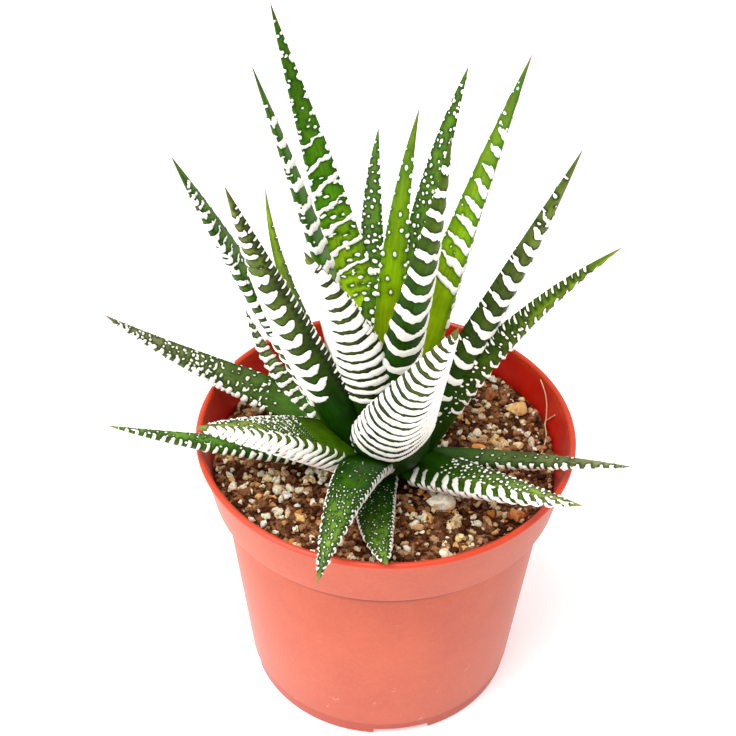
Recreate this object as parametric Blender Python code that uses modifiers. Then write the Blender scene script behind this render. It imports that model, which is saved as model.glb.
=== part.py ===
"""A potted haworthia: a rosette of leaves on a short stem, in soil with stones, in a nursery pot.

Lengths in the tables are millimetres. The pot's axis is Z and its base stands on z = 0.
Azimuths are degrees seen from above: 0 points along +X, 90 along +Y.
"""
import math
import random

import bmesh
import bpy
from mathutils import Matrix, Vector, noise
from mathutils.bvhtree import BVHTree

MM = 0.001
CUTTERS = "cutters"       # the collection of shapes that only cut others
FIT_GAP = 0.3            # clearance left between two pieces that touch
WELD = 0.01              # points closer than this after a cut become one
TURN_STEPS = 44          # facets round the pot

# Pot: a thin moulded wall with a rounded lip, a collar, a step and a tapering body.
POT_HEIGHT = 73.4
LIP_RADIUS = 45.0
LIP_BEAD = 0.8           # radius of the rounded lip
LIP_STEPS = 6            # facets over the lip
LIP_TURN = 0.4           # how far below the collar's top the inner face ends, and how far it leans out
WALL = 1.3
COLLAR_TOP = (44.1, 71.2)
COLLAR_FOOT = (41.7, 58.4)
COLLAR_BEVEL = (0.4, 0.5)    # how far in, and how far up, the bevel under the collar goes
BODY_TOP = (39.2, 57.6)
BODY_TOP_EASE = 0.2      # how far out and up the body's top edge is eased
INNER_STEP = (0.2, 0.4)  # the inner step: how far below the body's top, and above the collar's foot
LEDGE_HEIGHT = 4.2
LEDGE_STEP = 0.5
LEDGE_EASE = 0.2         # how far above and below its height the ledge spreads
BASE_RADIUS = 33.3
BODY_RADIUS_AT_LEDGE = 33.9
FOOT_BEVEL = 0.6
FLOOR = 1.6
FLOOR_MARGIN = 1.5       # how far inside the wall the flat of the floor ends
FLOOR_CORNER = (0.3, 1.2)    # how far inside the wall, and above the floor, the floor's corner ends
NOTCH_WIDTH = 14.0
NOTCH_HEIGHT = 2.0
NOTCH_DEPTH = 7.0
NOTCH_OVERRUN = 4.0      # how far its cutter passes out of the wall
NOTCH_AZIMUTHS = (10.5, 100.5, 190.5, 280.5)

# Soil: the root ball that fills the pot, with an uneven top.
SOIL_TOP = 65.0
SOIL_RINGS = 12
SOIL_TURNS = 36
SOIL_BUMP = 0.9
SOIL_BUMP_SIZE = 9.0
SOIL_NOISE_LEVEL = 7.0   # the height at which the noise behind the bumps is read
# Each hollow: azimuth, distance from the axis, reach, depth.
SOIL_HOLLOWS = ((-18.0, 38.0, 15.0, 4.2), (150.0, 36.0, 12.0, 1.5), (240.0, 34.0, 10.0, 1.2))

# Stem: the short crown that every leaf grows from. Each pair is radius, height.
STEM_PROFILE = ((1.0, 79.0), (3.0, 76.5), (4.6, 73.0), (6.2, 69.0), (6.6, 65.5), (5.2, 62.0), (3.0, 59.0))
STEM_STEPS = 16

# Leaves, youngest first. Where two meet, the later one gives way.
# name: azimuth, sweep, pitch at the root, pitch at the tip, length, root distance from the axis,
#       root height, width, fullness, twist
LEAVES = {
    "leaf_centre_smooth": (82, -19, 99, 63, 79, 1.5, 75.5, 7.3, 2.5, 6),
    "leaf_back_short": (105, -21, 56, 32, 72, 2.0, 74.0, 7.0, 3.2, 0),
    "leaf_back_left_tall": (106, 43, 49, 72, 101, 3.2, 73.5, 11.0, 2.1, -10),
    "leaf_back_dark": (66, -11, 84, 57, 87, 2.5, 73.5, 7.2, 3.8, 1),
    "leaf_front_banded": (-88, 68, 70, 83, 95, 2.5, 73.0, 10.0, 2.5, -9),
    "leaf_left_tall_thin": (160, 0, 77, 68, 94, 3.5, 72.5, 7.4, 2.5, 4),
    "leaf_right_tall": (29, 17, 79, 60, 95, 3.5, 72.0, 10.6, 1.7, 12),
    "leaf_front_striped": (-116, -18, 80, 59, 74.5, 4.0, 71.0, 16.8, 2.4, 12),
    "leaf_left_banded": (214, 9, 64, 71, 93, 5.0, 69.5, 12.6, 2.0, 32),
    "leaf_right_banded": (-25, -6, 68, 70, 99, 5.0, 69.5, 10.1, 1.8, -34),
    "leaf_front_wide": (-87, 36, 58, 62, 76, 5.0, 69.0, 19.0, 1.8, -18),
    "leaf_left_outer": (192, -20, 66, 62, 90, 6.5, 67.0, 10.6, 3.2, -1),
    "leaf_right_olive": (-15, -28, 70, 49, 90, 6.5, 66.5, 11.2, 1.2, -45),
    "leaf_back_left_thin": (139, -41, 36, 24, 71, 5.5, 68.0, 4.8, 2.2, -36),
    "leaf_left_small": (156, -36, 6, 42, 46, 5.5, 67.0, 6.2, 2.3, 4),
    "leaf_front_left": (220, -9, 43, 25, 54, 5.5, 67.5, 15.0, 1.9, -19),
    "leaf_left_long": (151, 46, 3, 45, 71.5, 5.5, 68.0, 11.4, 1.7, -14),
    "leaf_right_low": (-45, 2, 22, 24, 57, 5.5, 66.5, 12.0, 1.5, 8),
    "leaf_front_low": (-104, 2, 54, -24, 59.5, 5.5, 66.0, 11.6, 2.3, 2),
    "leaf_front_short": (-98, 21, 15, 15, 45, 5.5, 66.0, 9.0, 3.6, 8),
    "leaf_right_smooth": (-17, -14, 16, 22, 57, 5.5, 66.0, 6.5, 2.1, 0),
    "leaf_left_low": (197, -4, 15, 23, 62.5, 5.5, 66.0, 8.4, 1.8, 1),
    "leaf_back_low": (76, 0, 20, 20, 42, 5.5, 66.0, 9.0, 2.4, 0),
    "leaf_back_right_low": (46, 0, 22, 24, 44, 5.5, 66.5, 9.0, 2.4, 0),
}
LEAF_RINGS = 12
LEAF_SECTION = ((-1.0, 0.0), (-0.78, 0.62), (-0.38, 0.93), (0.0, 1.0), (0.38, 0.93), (0.78, 0.62),
                (1.0, 0.0), (0.6, -1.0), (0.0, -1.0), (-0.6, -1.0))
LEAF_THICKNESS = 0.34    # share of the width, added to the least thickness
LEAST_THICKNESS = 0.9
LEAF_THINNING = (2.6, 0.8)   # powers that say how the thickness dies away towards the tip
OUTER_SHARE, INNER_SHARE = 0.8, 0.2     # how the thickness is shared by the two faces
ROOT_NARROWING = 0.3     # share of the width given up at the root
ROOT_NARROW_END = 0.16   # where along the leaf it is at its full width
TIP_CROWDING = 1.25      # how much closer the rings stand towards the tip

# Stones lying in the soil: azimuth, distance, long and short size seen from above, height, turn.
STONES = {
    "stone_tan": (27, 36.5, 6.4, 4.4, 3.6, 20),
    "stone_brown": (41, 34.5, 4.6, 3.4, 3.0, 80),
    "stone_orange": (8, 22.6, 3.8, 2.6, 2.4, 0),
    "stone_white_right": (20, 23.6, 3.4, 2.3, 2.2, 70),
    "stone_pale_right": (8, 32.4, 3.0, 2.6, 2.2, 0),
    "stone_cream_large": (-53, 21.6, 7.4, 6.4, 5.0, 15),
    "stone_greenish": (-55, 28.6, 4.2, 3.4, 2.8, 30),
    "stone_russet": (-29.6, 35.6, 5.0, 4.0, 3.0, 10),
    "stone_cream_front": (-58, 33.0, 2.8, 2.6, 2.2, 0),
    "stone_white_front": (-67, 36.0, 3.6, 2.8, 2.2, 20),
    "stone_white_inner": (-67, 24.0, 3.2, 2.0, 2.0, 75),
    "stone_tan_left": (209, 28.5, 2.6, 2.3, 2.0, 0),
    "stone_white_left": (200, 37.6, 3.0, 2.0, 2.0, 60),
}
STONE_SHOWING = 0.18     # share of its height that a stone's middle stands above the soil
STONE_LUMPS = 0.07       # the largest share by which a point of a stone stands out or in
STONE_DETAIL = 2         # how many times a stone's facets are divided

# name: colour, roughness
FINISHES = {
    "pot": ((0.80, 0.16, 0.06), 0.4),
    "soil": ((0.07, 0.045, 0.03), 0.95),
    "stem": ((0.16, 0.22, 0.05), 0.6),
    "stone": ((0.62, 0.54, 0.40), 0.8),
    "leaf": ((0.09, 0.22, 0.035), 0.45),
    "striped leaf": ((0.40, 0.50, 0.30), 0.45),
}
STRIPED = (
    "leaf_front_striped",
    "leaf_front_wide",
    "leaf_front_banded",
    "leaf_right_banded",
    "leaf_left_banded",
)


def clear_scene():
    for thing in list(bpy.data.objects):
        bpy.data.objects.remove(thing)


def new_collection(name):
    made = bpy.data.collections.new(name)
    bpy.context.scene.collection.children.link(made)
    return made


def put_in(collection, thing):
    """Moves an object into a collection, and hides it if the collection holds the cutters."""
    for holder in list(thing.users_collection):
        holder.objects.unlink(thing)
    collection.objects.link(thing)
    if collection.name == CUTTERS:
        thing.hide_render = True
        thing.display_type = "WIRE"
    return thing


def new_object(name, mesh, collection):
    return put_in(collection, bpy.data.objects.new(name, mesh))


def paint(thing, finish):
    colour, roughness = FINISHES[finish]
    made = bpy.data.materials.new(thing.name)
    made.use_nodes = True
    shader = made.node_tree.nodes["Principled BSDF"]
    shader.inputs["Base Color"].default_value = (*colour, 1.0)
    shader.inputs["Roughness"].default_value = roughness
    made.diffuse_color = (*colour, 1.0)
    thing.data.materials.append(made)


def smooth(thing):
    for polygon in thing.data.polygons:
        polygon.use_smooth = True


def spin(name, profile, steps, collection):
    """The solid turned round Z by a profile of radius and height that runs down its outer side."""
    edges = [(index, index + 1) for index in range(len(profile) - 1)]
    mesh = bpy.data.meshes.new(name)
    mesh.from_pydata([(radius * MM, 0.0, height * MM) for radius, height in profile], edges, [])
    made = new_object(name, mesh, collection)
    screw = made.modifiers.new("turn", "SCREW")
    screw.steps = steps
    screw.render_steps = steps
    screw.use_merge_vertices = True
    screw.merge_threshold = WELD * MM
    screw.use_smooth_shade = True
    return made


def apply_modifiers(thing):
    graph = bpy.context.evaluated_depsgraph_get()
    mesh = bpy.data.meshes.new_from_object(thing.evaluated_get(graph))
    thing.modifiers.clear()
    thing.data = mesh


def cut(thing, cutter):
    modifier = thing.modifiers.new("cut " + cutter.name, "BOOLEAN")
    modifier.operation = "DIFFERENCE"
    modifier.solver = "EXACT"
    modifier.object = cutter


def cut_where_they_meet(thing, cutters):
    """Cuts one shape by each that reaches it, one at a time, so that each cut starts from a clean mesh."""
    for cutter in cutters:
        if not surfaces_meet(thing, cutter):
            continue
        cut(thing, cutter)
        apply_modifiers(thing)
        tidy_mesh(thing.data)


def surfaces_meet(first, second):
    graph = bpy.context.evaluated_depsgraph_get()
    tree_a = BVHTree.FromObject(first, graph)
    tree_b = BVHTree.FromObject(second, graph)
    return bool(tree_a.overlap(tree_b))


def tidy_mesh(mesh):
    """Welds the slivers that a cut leaves, and drops every piece but the largest."""
    work = bmesh.new()
    work.from_mesh(mesh)
    bmesh.ops.remove_doubles(work, verts=work.verts, dist=WELD * MM)
    left = set(work.verts)
    pieces = []
    while left:
        piece = grow_piece(left.pop())
        left -= piece
        pieces.append(piece)
    pieces.sort(key=len)
    crumbs = [vertex for piece in pieces[:-1] for vertex in piece]
    bmesh.ops.delete(work, geom=crumbs, context="VERTS")
    bmesh.ops.triangulate(work, faces=work.faces)
    work.to_mesh(mesh)
    work.free()


def grow_piece(start):
    """Every vertex that edges join to this one."""
    piece = {start}
    edge_front = [start]
    while edge_front:
        vertex = edge_front.pop()
        for edge in vertex.link_edges:
            other = edge.other_vert(vertex)
            if other not in piece:
                piece.add(other)
                edge_front.append(other)
    return piece


def pot_inside():
    """The inner face of the pot, from the middle of the floor up to the lip."""
    return [
        (0.0, FLOOR),
        (BASE_RADIUS - WALL - FLOOR_MARGIN, FLOOR),
        (BASE_RADIUS - WALL - FLOOR_CORNER[0], FLOOR + FLOOR_CORNER[1]),
        (BODY_TOP[0] - WALL, BODY_TOP[1] - INNER_STEP[0]),
        (COLLAR_FOOT[0] - WALL, COLLAR_FOOT[1] + INNER_STEP[1]),
        (COLLAR_TOP[0] - WALL + LIP_TURN, COLLAR_TOP[1] - LIP_TURN),
    ]


def pot_lip():
    """The rounded lip, from its inner side over the top to its outer side."""
    lip_radius = LIP_RADIUS - LIP_BEAD
    lip_height = POT_HEIGHT - LIP_BEAD
    bead = []
    for step in range(LIP_STEPS + 1):
        angle = math.pi * (1.0 - step / LIP_STEPS)
        bead.append((lip_radius + LIP_BEAD * math.cos(angle), lip_height + LIP_BEAD * math.sin(angle)))
    return bead


def pot_outside():
    """The outer face of the pot, from under the lip down to the middle of the base."""
    return [
        COLLAR_TOP,
        (COLLAR_FOOT[0], COLLAR_FOOT[1] + COLLAR_BEVEL[1]),
        (COLLAR_FOOT[0] - COLLAR_BEVEL[0], COLLAR_FOOT[1]),
        (BODY_TOP[0] + BODY_TOP_EASE, BODY_TOP[1] + BODY_TOP_EASE),
        BODY_TOP,
        (BODY_RADIUS_AT_LEDGE, LEDGE_HEIGHT + LEDGE_EASE),
        (BODY_RADIUS_AT_LEDGE - LEDGE_STEP, LEDGE_HEIGHT - LEDGE_EASE),
        (BASE_RADIUS, FOOT_BEVEL),
        (BASE_RADIUS - FOOT_BEVEL, 0.0),
        (0.0, 0.0),
    ]


def make_pot(collection, cutters):
    pot = spin("pot", pot_inside() + pot_lip() + pot_outside(), TURN_STEPS, collection)
    for number, azimuth in enumerate(NOTCH_AZIMUTHS):
        cut(pot, notch_cutter(f"notch_{number + 1}", azimuth, cutters))
    paint(pot, "pot")


def notch_cutter(name, azimuth, cutters):
    """A block that opens the foot of the wall and the edge of the floor, for water to drain."""
    reach = NOTCH_DEPTH + NOTCH_OVERRUN
    turn = math.radians(azimuth)
    distance = BASE_RADIUS - NOTCH_DEPTH + reach / 2
    middle = (distance * math.cos(turn) * MM, distance * math.sin(turn) * MM, 0.0)
    bpy.ops.mesh.primitive_cube_add(size=1.0, location=middle, rotation=(0.0, 0.0, turn))
    block = bpy.context.object
    block.name = name
    block.scale = (reach * MM, NOTCH_WIDTH * MM, 2 * NOTCH_HEIGHT * MM)
    return put_in(cutters, block)


def soil_height(x, y):
    """The height of the soil's top here: a gentle noise, and the hollows."""
    height = SOIL_TOP
    height += SOIL_BUMP * noise.noise(Vector((x, y, SOIL_NOISE_LEVEL)) / SOIL_BUMP_SIZE)
    for azimuth, distance, reach, depth in SOIL_HOLLOWS:
        middle = Vector((distance, 0.0)) @ Matrix.Rotation(math.radians(-azimuth), 2)
        apart = (Vector((x, y)) - middle).length
        height -= depth * math.exp(-((apart / reach) ** 2))
    return height


def soil_wall():
    """The line that the soil's side follows inside the pot's wall, from its foot upwards."""
    foot, body, collar, top = pot_inside()[2:]
    return [
        (foot[0] - FIT_GAP, foot[1]),
        (body[0] - FIT_GAP, body[1]),
        (collar[0] - FIT_GAP, collar[1] + FIT_GAP),
        (top[0] - FIT_GAP, top[1]),
    ]


def soil_wall_radius(height):
    """How far out the soil reaches at this height, inside the pot's wall."""
    wall = soil_wall()
    for low, high in zip(wall[:-1], wall[1:]):
        if height <= high[1]:
            share = (height - low[1]) / (high[1] - low[1])
            return low[0] + share * (high[0] - low[0])
    return wall[-1][0]


def make_soil(collection):
    """A turned body that fills the pot, whose top is then raised and lowered into its uneven shape."""
    rim = soil_wall_radius(SOIL_TOP)
    top = [(rim * ring / SOIL_RINGS, SOIL_TOP) for ring in range(SOIL_RINGS + 1)]
    foot, body, collar = soil_wall()[:3]
    bottom = FLOOR + FIT_GAP
    under = [(BASE_RADIUS - WALL - FLOOR_MARGIN - FIT_GAP, bottom), (0.0, bottom)]
    soil = spin("soil", top + [collar, body, foot] + under, SOIL_TURNS, collection)
    apply_modifiers(soil)
    for vertex in soil.data.vertices:
        x, y, z = vertex.co / MM
        if abs(z - SOIL_TOP) > WELD:
            continue
        height = soil_height(x, y)
        radius = math.hypot(x, y)
        pull = 1.0 + (soil_wall_radius(height) / rim - 1.0) * (radius / rim)
        vertex.co = Vector((x * pull, y * pull, height)) * MM
    return soil


def ring_faces(rings, turns):
    """Faces of a shape given as one top point and then rings of points, closed by a flat end."""
    faces = []
    for turn in range(turns):
        faces.append((0, 1 + turn, 1 + (turn + 1) % turns))
    for ring in range(rings - 1):
        start = 1 + ring * turns
        for turn in range(turns):
            after = (turn + 1) % turns
            faces.append((start + turn, start + turns + turn, start + turns + after, start + after))
    start = 1 + (rings - 1) * turns
    faces.append(tuple(start + turn for turn in reversed(range(turns))))
    return faces


def spin_stem(name, grown, collection):
    """The stem, or its shape grown all round by a clearance, for cutting what stands against it."""
    last = len(STEM_PROFILE) - 1
    profile = []
    for place, (radius, height) in enumerate(STEM_PROFILE):
        rise = grown if place == 0 else -grown if place == last else 0.0
        profile.append((radius + grown, height + rise))
    crown = (0.0, profile[0][1])
    foot = (0.0, profile[-1][1])
    return spin(name, [crown] + profile + [foot], STEM_STEPS, collection)


def leaf_spine(leaf, stations):
    """The leaf's middle line: a place, a direction, a side and an outward direction at each station."""
    azimuth, sweep, root_pitch, tip_pitch, length, root_distance, root_height = leaf[:7]
    bend = tip_pitch - root_pitch
    twist = math.radians(leaf[9])
    turn = math.radians(azimuth)
    place = Vector((root_distance * math.cos(turn), root_distance * math.sin(turn), root_height))
    spine = []
    before = 0.0
    for station in stations:
        middle = (before + station) / 2
        run = direction_at(azimuth + sweep * middle, root_pitch + bend * middle)
        place = place + run * (length * (station - before))
        ahead = direction_at(azimuth + sweep * station, root_pitch + bend * station)
        turned = math.radians(azimuth + sweep * station)
        side = Matrix.Rotation(twist, 3, ahead) @ Vector((-math.sin(turned), math.cos(turned), 0.0))
        spine.append((place.copy(), ahead, side, ahead.cross(side) * -1.0))
        before = station
    return spine


def direction_at(azimuth, pitch):
    turn = math.radians(azimuth)
    rise = math.radians(pitch)
    return Vector((math.cos(turn) * math.cos(rise), math.sin(turn) * math.cos(rise), math.sin(rise)))


def leaf_half_width(leaf, station):
    width, fullness = leaf[7:9]
    narrow = 1.0
    if station < ROOT_NARROW_END:
        narrow = 1.0 - ROOT_NARROWING * (1.0 - station / ROOT_NARROW_END)
    return width / 2 * narrow * (1.0 - station ** fullness)


def leaf_depths(leaf, station):
    """How far the outer and the inner face stand from the middle line."""
    thickness = LEAST_THICKNESS + LEAF_THICKNESS * leaf[7]
    body = (1.0 - station ** LEAF_THINNING[0]) ** LEAF_THINNING[1]
    return OUTER_SHARE * thickness * body, INNER_SHARE * thickness * body


def make_leaf(name, leaf, grown, collection):
    """A leaf lofted along its middle line, from rings of one section that narrow to a point."""
    stations = [1.0 - (1.0 - ring / LEAF_RINGS) ** TIP_CROWDING for ring in range(LEAF_RINGS)]
    spine = leaf_spine(leaf, stations + [1.0])
    tip, ahead = spine[-1][:2]
    mesh = bpy.data.meshes.new(name)
    points = [tip + ahead * grown]
    for (place, ahead, side, outward), station in reversed(list(zip(spine[:-1], stations))):
        half = leaf_half_width(leaf, station) + grown
        outer, inner = leaf_depths(leaf, station)
        back = ahead * (grown if station == 0.0 else 0.0)
        for across, depth in LEAF_SECTION:
            reach = (outer + grown) * depth if depth > 0 else (inner + grown) * depth
            points.append(place - back + side * (half * across) + outward * reach)
    mesh.from_pydata([point * MM for point in points], [], ring_faces(LEAF_RINGS, len(LEAF_SECTION)))
    return new_object(name, mesh, collection)


def make_leaves(stem_room, collection, cutters):
    """The leaves, each cut back where it would run into the stem or into a younger leaf."""
    rooms = []
    for name, leaf in LEAVES.items():
        made = make_leaf(name, leaf, 0.0, collection)
        cut_where_they_meet(made, [stem_room] + rooms)
        smooth(made)
        paint(made, "striped leaf" if name in STRIPED else "leaf")
        rooms.append(make_leaf(name + "_room", leaf, FIT_GAP, cutters))
    return rooms


def make_stone(name, seed, stone, grown, collection):
    """An uneven pebble, part sunk in the soil."""
    azimuth, distance, long, short, tall, turned = stone
    turn = math.radians(azimuth)
    x = distance * math.cos(turn)
    y = distance * math.sin(turn)
    place = Vector((x, y, soil_height(x, y) + STONE_SHOWING * tall))
    bpy.ops.mesh.primitive_ico_sphere_add(subdivisions=STONE_DETAIL, radius=1.0, location=(0, 0, 0))
    pebble = bpy.context.object
    pebble.name = name
    lumps = random.Random(seed)
    rotation = Matrix.Rotation(math.radians(turned), 3, "Z")
    size = Vector((long / 2 + grown, short / 2 + grown, tall / 2 + grown))
    for vertex in pebble.data.vertices:
        lump = 1.0 + lumps.uniform(-STONE_LUMPS, STONE_LUMPS)
        vertex.co = (place + rotation @ (vertex.co * size * lump)) * MM
    return put_in(collection, pebble)


def make_stones(leaf_rooms, collection, cutters):
    rooms = []
    for name, stone in STONES.items():
        made = make_stone(name, name, stone, 0.0, collection)
        cut_where_they_meet(made, leaf_rooms)
        smooth(made)
        paint(made, "stone")
        rooms.append(make_stone(name + "_room", name, stone, FIT_GAP, cutters))
    return rooms


def build():
    clear_scene()
    plant = new_collection("potted haworthia")
    cutters = new_collection(CUTTERS)
    make_pot(plant, cutters)
    paint(spin_stem("stem", 0.0, plant), "stem")
    stem_room = spin_stem("stem_room", FIT_GAP, cutters)
    leaf_rooms = make_leaves(stem_room, plant, cutters)
    stone_rooms = make_stones(leaf_rooms, plant, cutters)
    soil = make_soil(plant)
    cut_where_they_meet(soil, [stem_room] + leaf_rooms + stone_rooms)
    smooth(soil)
    paint(soil, "soil")


build()
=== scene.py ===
# %% [markdown]
# # A potted zebra haworthia
# The plant is a rosette of stiff, fleshy leaves on a very short stem. Each leaf carries raised white
# warts, which run together into bars on some leaves and stay as single dots on others. It stands in
# gritty soil in a thin plastic nursery pot. The frame holds the plain solids. Here each one is
# replaced by a finer piece in the same place, because the warts, the lip of the pot and the crumbs of
# the soil are what the eye looks for, and they need many more faces than a solid should have.

# %% Load the frame
import math
from collections import namedtuple

import bpy
import numpy as np
from mathutils import Matrix, Vector, noise


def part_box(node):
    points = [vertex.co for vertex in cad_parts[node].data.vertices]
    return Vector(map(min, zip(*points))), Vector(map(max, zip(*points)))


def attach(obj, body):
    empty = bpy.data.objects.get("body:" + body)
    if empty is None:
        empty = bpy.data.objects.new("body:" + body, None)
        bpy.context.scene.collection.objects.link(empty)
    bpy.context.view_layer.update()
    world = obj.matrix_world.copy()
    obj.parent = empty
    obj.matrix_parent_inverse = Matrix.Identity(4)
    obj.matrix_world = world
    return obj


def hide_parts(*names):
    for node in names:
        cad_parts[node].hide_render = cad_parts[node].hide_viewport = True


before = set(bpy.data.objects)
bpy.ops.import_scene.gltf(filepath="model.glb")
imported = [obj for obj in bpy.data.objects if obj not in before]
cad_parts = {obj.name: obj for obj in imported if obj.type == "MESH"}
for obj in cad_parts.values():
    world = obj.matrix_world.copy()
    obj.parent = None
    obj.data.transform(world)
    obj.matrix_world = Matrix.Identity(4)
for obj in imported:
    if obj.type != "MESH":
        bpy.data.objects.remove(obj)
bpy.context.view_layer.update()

MM = 0.001

# %% [markdown]
# ## Camera, light and floor
# A product picture of a plant is taken from above its rim, so that the rosette, the soil and the pot's
# wall all show. The camera has a place and three turns: down, sideways and a slight lean. Its matrix is
# built from those turns, so that each can be changed by itself. The light is a pale sky with two large
# soft lamps, which leaves only faint shadows, as a light tent does.

# %% Camera
LENS = 73.37
SENSOR = 36.0
CAMERA_PLACE = Vector((0.0, -0.2664, 0.3094))
LOOK_DOWN, LOOK_LEAN, LOOK_SIDE = (math.radians(turn) for turn in (39.31, -1.06, -0.97))


def linked(name, data):
    """A new object in the scene that shows this data."""
    made = bpy.data.objects.new(name, data)
    bpy.context.scene.collection.objects.link(made)
    return made


lens = bpy.data.cameras.new("camera")
lens.lens = LENS
lens.sensor_width = SENSOR
camera = linked("camera", lens)
tilted = Matrix.Rotation(math.pi / 2 - LOOK_DOWN, 4, "X") @ Matrix.Rotation(-LOOK_LEAN, 4, "Z")
camera.matrix_world = Matrix.Translation(CAMERA_PLACE) @ Matrix.Rotation(-LOOK_SIDE, 4, "Z") @ tilted
bpy.context.scene.camera = camera
print("camera looks down", round(math.degrees(LOOK_DOWN), 1), "degrees")

# %% Soft lamps and a pale sky
bpy.context.scene.view_settings.view_transform = "Standard"
# name: place, what it points at, size, watts
LAMPS = {
    "overhead": ((-0.25, -0.20, 0.85), (0.0, 0.0, 0.08), 0.60, 6.8),
    "left": ((-0.75, -0.55, 0.40), (0.0, 0.0, 0.06), 0.50, 3.5),
}
SKY_STRENGTH = 0.83
WHITE = (1.0, 1.0, 1.0, 1.0)
for name, (place, target, size, watts) in LAMPS.items():
    lamp = bpy.data.lights.new(name, "AREA")
    lamp.size = size
    lamp.energy = watts
    hung = linked(name, lamp)
    hung.location = place
    hung.rotation_euler = (Vector(target) - Vector(place)).to_track_quat("-Z", "Y").to_euler()
sky = bpy.data.worlds.new("sky")
sky.use_nodes = True
glow = sky.node_tree.nodes["Background"]
glow.inputs["Color"].default_value = WHITE
glow.inputs["Strength"].default_value = SKY_STRENGTH
bpy.context.scene.world = sky
print("lamps", sorted(LAMPS))

# %% [markdown]
# ## Writing materials as sums
# A material is a web of nodes, and laying out that web by hand hides what it works out. The small class
# here stands for one output of a node. Adding, taking away or multiplying such outputs makes the Math
# node that does it, so a pattern can be read as one line of arithmetic.

# %% A wire between nodes
class Wire:
    """One output of a node, which can be used in sums."""

    def __init__(self, tree, socket=None):
        self.tree = tree
        self.socket = socket

    def node(self, kind, settings=None, inputs=None, out=0):
        """Adds a node: its type, its settings, and the values or wires of its sockets."""
        made = self.tree.nodes.new("ShaderNode" + kind)
        for name, value in (settings or {}).items():
            if name == "stops":
                fill_ramp(made.color_ramp, value)
            else:
                setattr(made, name, value)
        for name, value in (inputs or {}).items():
            self.plug(made, name, value)
        return Wire(self.tree, made.outputs[out])

    def plug(self, node, name, value):
        if isinstance(value, Wire):
            self.tree.links.new(value.socket, node.inputs[name])
        else:
            node.inputs[name].default_value = value

    def sum(self, operation, first, second):
        return self.node("Math", {"operation": operation}, {0: first, 1: second})

    def __add__(self, other):
        return self.sum("ADD", self, other)

    def __sub__(self, other):
        return self.sum("SUBTRACT", self, other)

    def __rsub__(self, other):
        return self.sum("SUBTRACT", other, self)

    def __mul__(self, other):
        return self.sum("MULTIPLY", self, other)

    __radd__ = __add__

    def step(self, low, high):
        """0 below low, 1 above high and a soft rise between."""
        return self.node("MapRange", {"interpolation_type": "SMOOTHSTEP"},
                         {"Value": self, "From Min": low, "From Max": high})

    def mix(self, first, second):
        """The first colour where this is 0, and the second where it is 1."""
        return self.node("Mix", {"data_type": "RGBA"}, {0: self, 6: first, 7: second}, out=2)

    def speckle(self, size, detail=2.0, roughness=0.5):
        """Cloudy noise from 0 to 1 over these places. Size is in the places' own units."""
        return self.node("TexNoise", {}, {"Vector": self, "Scale": 1.0 / size, "Detail": detail,
                                          "Roughness": roughness})

    def scaled(self, share):
        """A colour made darker or lighter."""
        return self.node("VectorMath", {"operation": "SCALE"}, {0: self, "Scale": share})

    def stretched(self, scale):
        return self.node("VectorMath", {"operation": "MULTIPLY"}, {0: self, 1: scale})

    def ramp(self, *stops):
        """The colour that belongs to this number, from pairs of a number and a colour."""
        return self.node("ValToRGB", {"stops": stops}, {"Fac": self})

    def stored(self, name, out="Fac"):
        """A value that is kept on the points of the piece."""
        return self.node("Attribute", {"attribute_name": name}, out=out)


def fill_ramp(ramp, stops):
    while len(ramp.elements) < len(stops):
        ramp.elements.new(0.5)
    for element, (place, colour) in zip(ramp.elements, stops):
        element.position = place
        element.color = colour


def colour(red, green, blue):
    """A colour given as it looks on a screen, 0 to 255, made into the light that the shader uses."""
    return tuple((channel / 255.0) ** 2.2 for channel in (red, green, blue)) + (1.0,)


def new_finish(name, roughness, **fixed):
    """A new material, its shader, and the places on the piece in metres, where every pattern starts."""
    made = bpy.data.materials.new(name)
    made.use_nodes = True
    shader = made.node_tree.nodes["Principled BSDF"]
    shader.inputs["Roughness"].default_value = roughness
    for socket, value in fixed.items():
        shader.inputs[socket.replace("_", " ")].default_value = value
    return made, shader, Wire(made.node_tree).node("TexCoord", out="Object")


def dress(shader, base, roughness, height, distance, strength=1.0):
    """Plugs in a colour, a roughness and a height, which tilts the surface as a relief in metres would."""
    base.plug(shader, "Base Color", base)
    base.plug(shader, "Roughness", roughness)
    relief = base.node("Bump", {}, {"Height": height, "Distance": distance, "Strength": strength})
    base.plug(shader, "Normal", relief)


print("materials are written with", Wire.__name__)

# %% [markdown]
# ## Helpers for the modelling
# Every operator acts on what is selected, and the loaded solids are selected, so each piece starts
# by letting go of everything. A finished piece has its place in its mesh and its origin at the world's,
# as the solids have, so that a pattern on its material doesn't slide.

# %% Start and finish a piece
PIECES = {}
CLOUD_CELLS = 64         # cells on each side of the random table, which repeats after them


def let_go():
    if bpy.context.object and bpy.context.object.mode != "OBJECT":
        bpy.ops.object.mode_set(mode="OBJECT")
    bpy.ops.object.select_all(action="DESELECT")


def edit():
    """Goes into edit mode with the whole mesh selected."""
    bpy.ops.object.mode_set(mode="EDIT")
    bpy.ops.mesh.select_all(action="SELECT")


def pick(piece):
    let_go()
    piece.select_set(True)
    bpy.context.view_layer.objects.active = piece


def settle(piece, name, slot, finish, *nodes):
    """Names a finished piece, gives it its material and the world's origin, and ties it to the frame."""
    pick(piece)
    piece.data.materials.append(finish)
    bpy.ops.object.transform_apply(location=True, rotation=True, scale=True)
    piece.name = name
    piece.data.name = name
    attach(piece, "root")
    if nodes:
        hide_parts(*nodes)
    PIECES[name] = piece


def points_of(mesh):
    flat = np.empty(len(mesh.vertices) * 3)
    mesh.vertices.foreach_get("co", flat)
    return flat.reshape(-1, 3)


def place_points(mesh, points):
    mesh.vertices.foreach_set("co", np.ascontiguousarray(points, dtype=float).ravel())
    mesh.update()


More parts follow.
